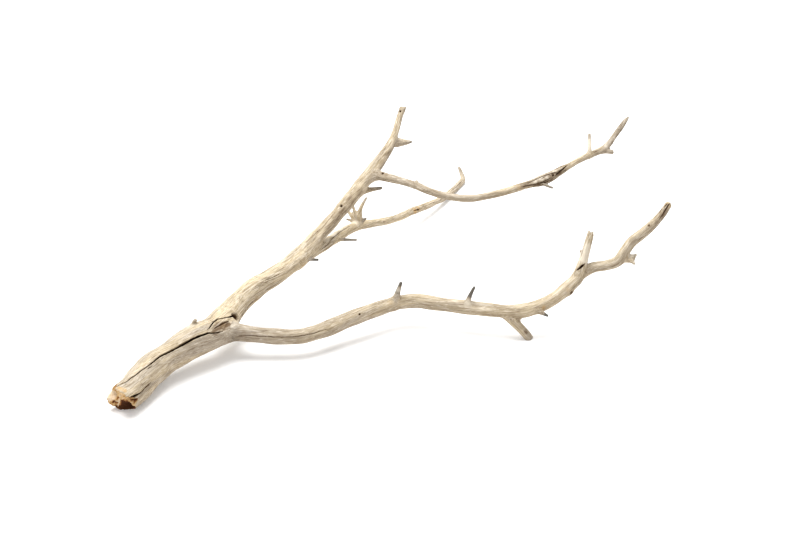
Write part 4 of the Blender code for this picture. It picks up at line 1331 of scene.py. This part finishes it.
def wood_material():
    """Bleached wood: streaks along the grain, grey and yellow zones, painted shade in the cracks and on the
    underside, and the torn butt.
    """
    shader = Shader("driftwood_wood")
    noises = {name: grain_noise(shader, *sizes) for name, sizes in WOOD_NOISES.items()}
    base, hairline = weathered(shader, noises)
    base = broken(shader, marked(shader, noises, base))
    fibres, hairlines = WOOD_RELIEF
    relief = shader.maths("ADD", noises["streak"], shader.times(noises["fibre"], fibres))
    relief = shader.maths("SUBTRACT", relief, shader.times(hairline, hairlines))
    shader.link(base, shader.surface.inputs["Base Color"])
    shader.link(shader.bump(relief, *WOOD_BUMP), shader.surface.inputs["Normal"])
    shader.surface.inputs["Roughness"].default_value = WOOD_ROUGHNESS
    shader.surface.inputs["Specular IOR Level"].default_value = WOOD_SHINE
    return shader.material


def floor_material():
    white, roughness, glow = FLOOR_LOOK
    shader = Shader("floor_white")
    shader.surface.inputs["Base Color"].default_value = colour(white, white, white)
    shader.surface.inputs["Roughness"].default_value = roughness
    shader.surface.inputs["Emission Color"].default_value = PLAIN
    shader.surface.inputs["Emission Strength"].default_value = glow
    return shader.material


def make_floor():
    bpy.ops.mesh.primitive_plane_add(size=FLOOR_SIZE)
    floor = bpy.context.object
    floor.name = "floor"
    floor.data.materials.append(floor_material())


def aim(thing, target):
    thing.rotation_euler = (target - thing.location).to_track_quat("-Z", "Y").to_euler()


def make_camera():
    data = bpy.data.cameras.new("camera")
    data.lens = CAMERA_LENS
    data.sensor_width = SENSOR_WIDTH
    camera = placed("camera", data)
    back = Vector((0.0, -math.cos(CAMERA_ELEVATION), math.sin(CAMERA_ELEVATION)))
    camera.location = CAMERA_TARGET + back * CAMERA_DISTANCE
    aim(camera, CAMERA_TARGET)
    bpy.context.scene.camera = camera


def make_light():
    data = bpy.data.lights.new("overhead", "AREA")
    data.shape = "DISK"
    data.size = LIGHT_SIZE
    data.energy = LIGHT_POWER
    light = placed("overhead", data)
    light.location = LIGHT_PLACE
    aim(light, Vector((0.0, 0.0, 0.0)))


def make_world():
    world = bpy.data.worlds.new("studio")
    world.use_nodes = True
    background = world.node_tree.nodes["Background"]
    background.inputs["Color"].default_value = PLAIN
    background.inputs["Strength"].default_value = WORLD_STRENGTH
    bpy.context.scene.world = world


def main():
    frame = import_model()
    make_camera()
    make_world()
    make_light()
    make_floor()
    bpy.context.scene.view_settings.view_transform = "Standard"

    limbs = all_limbs()
    wood = make_wood(limbs)
    wood.data.materials.append(wood_material())
    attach(wood, "root")
    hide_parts(*frame["nodes"])


main()
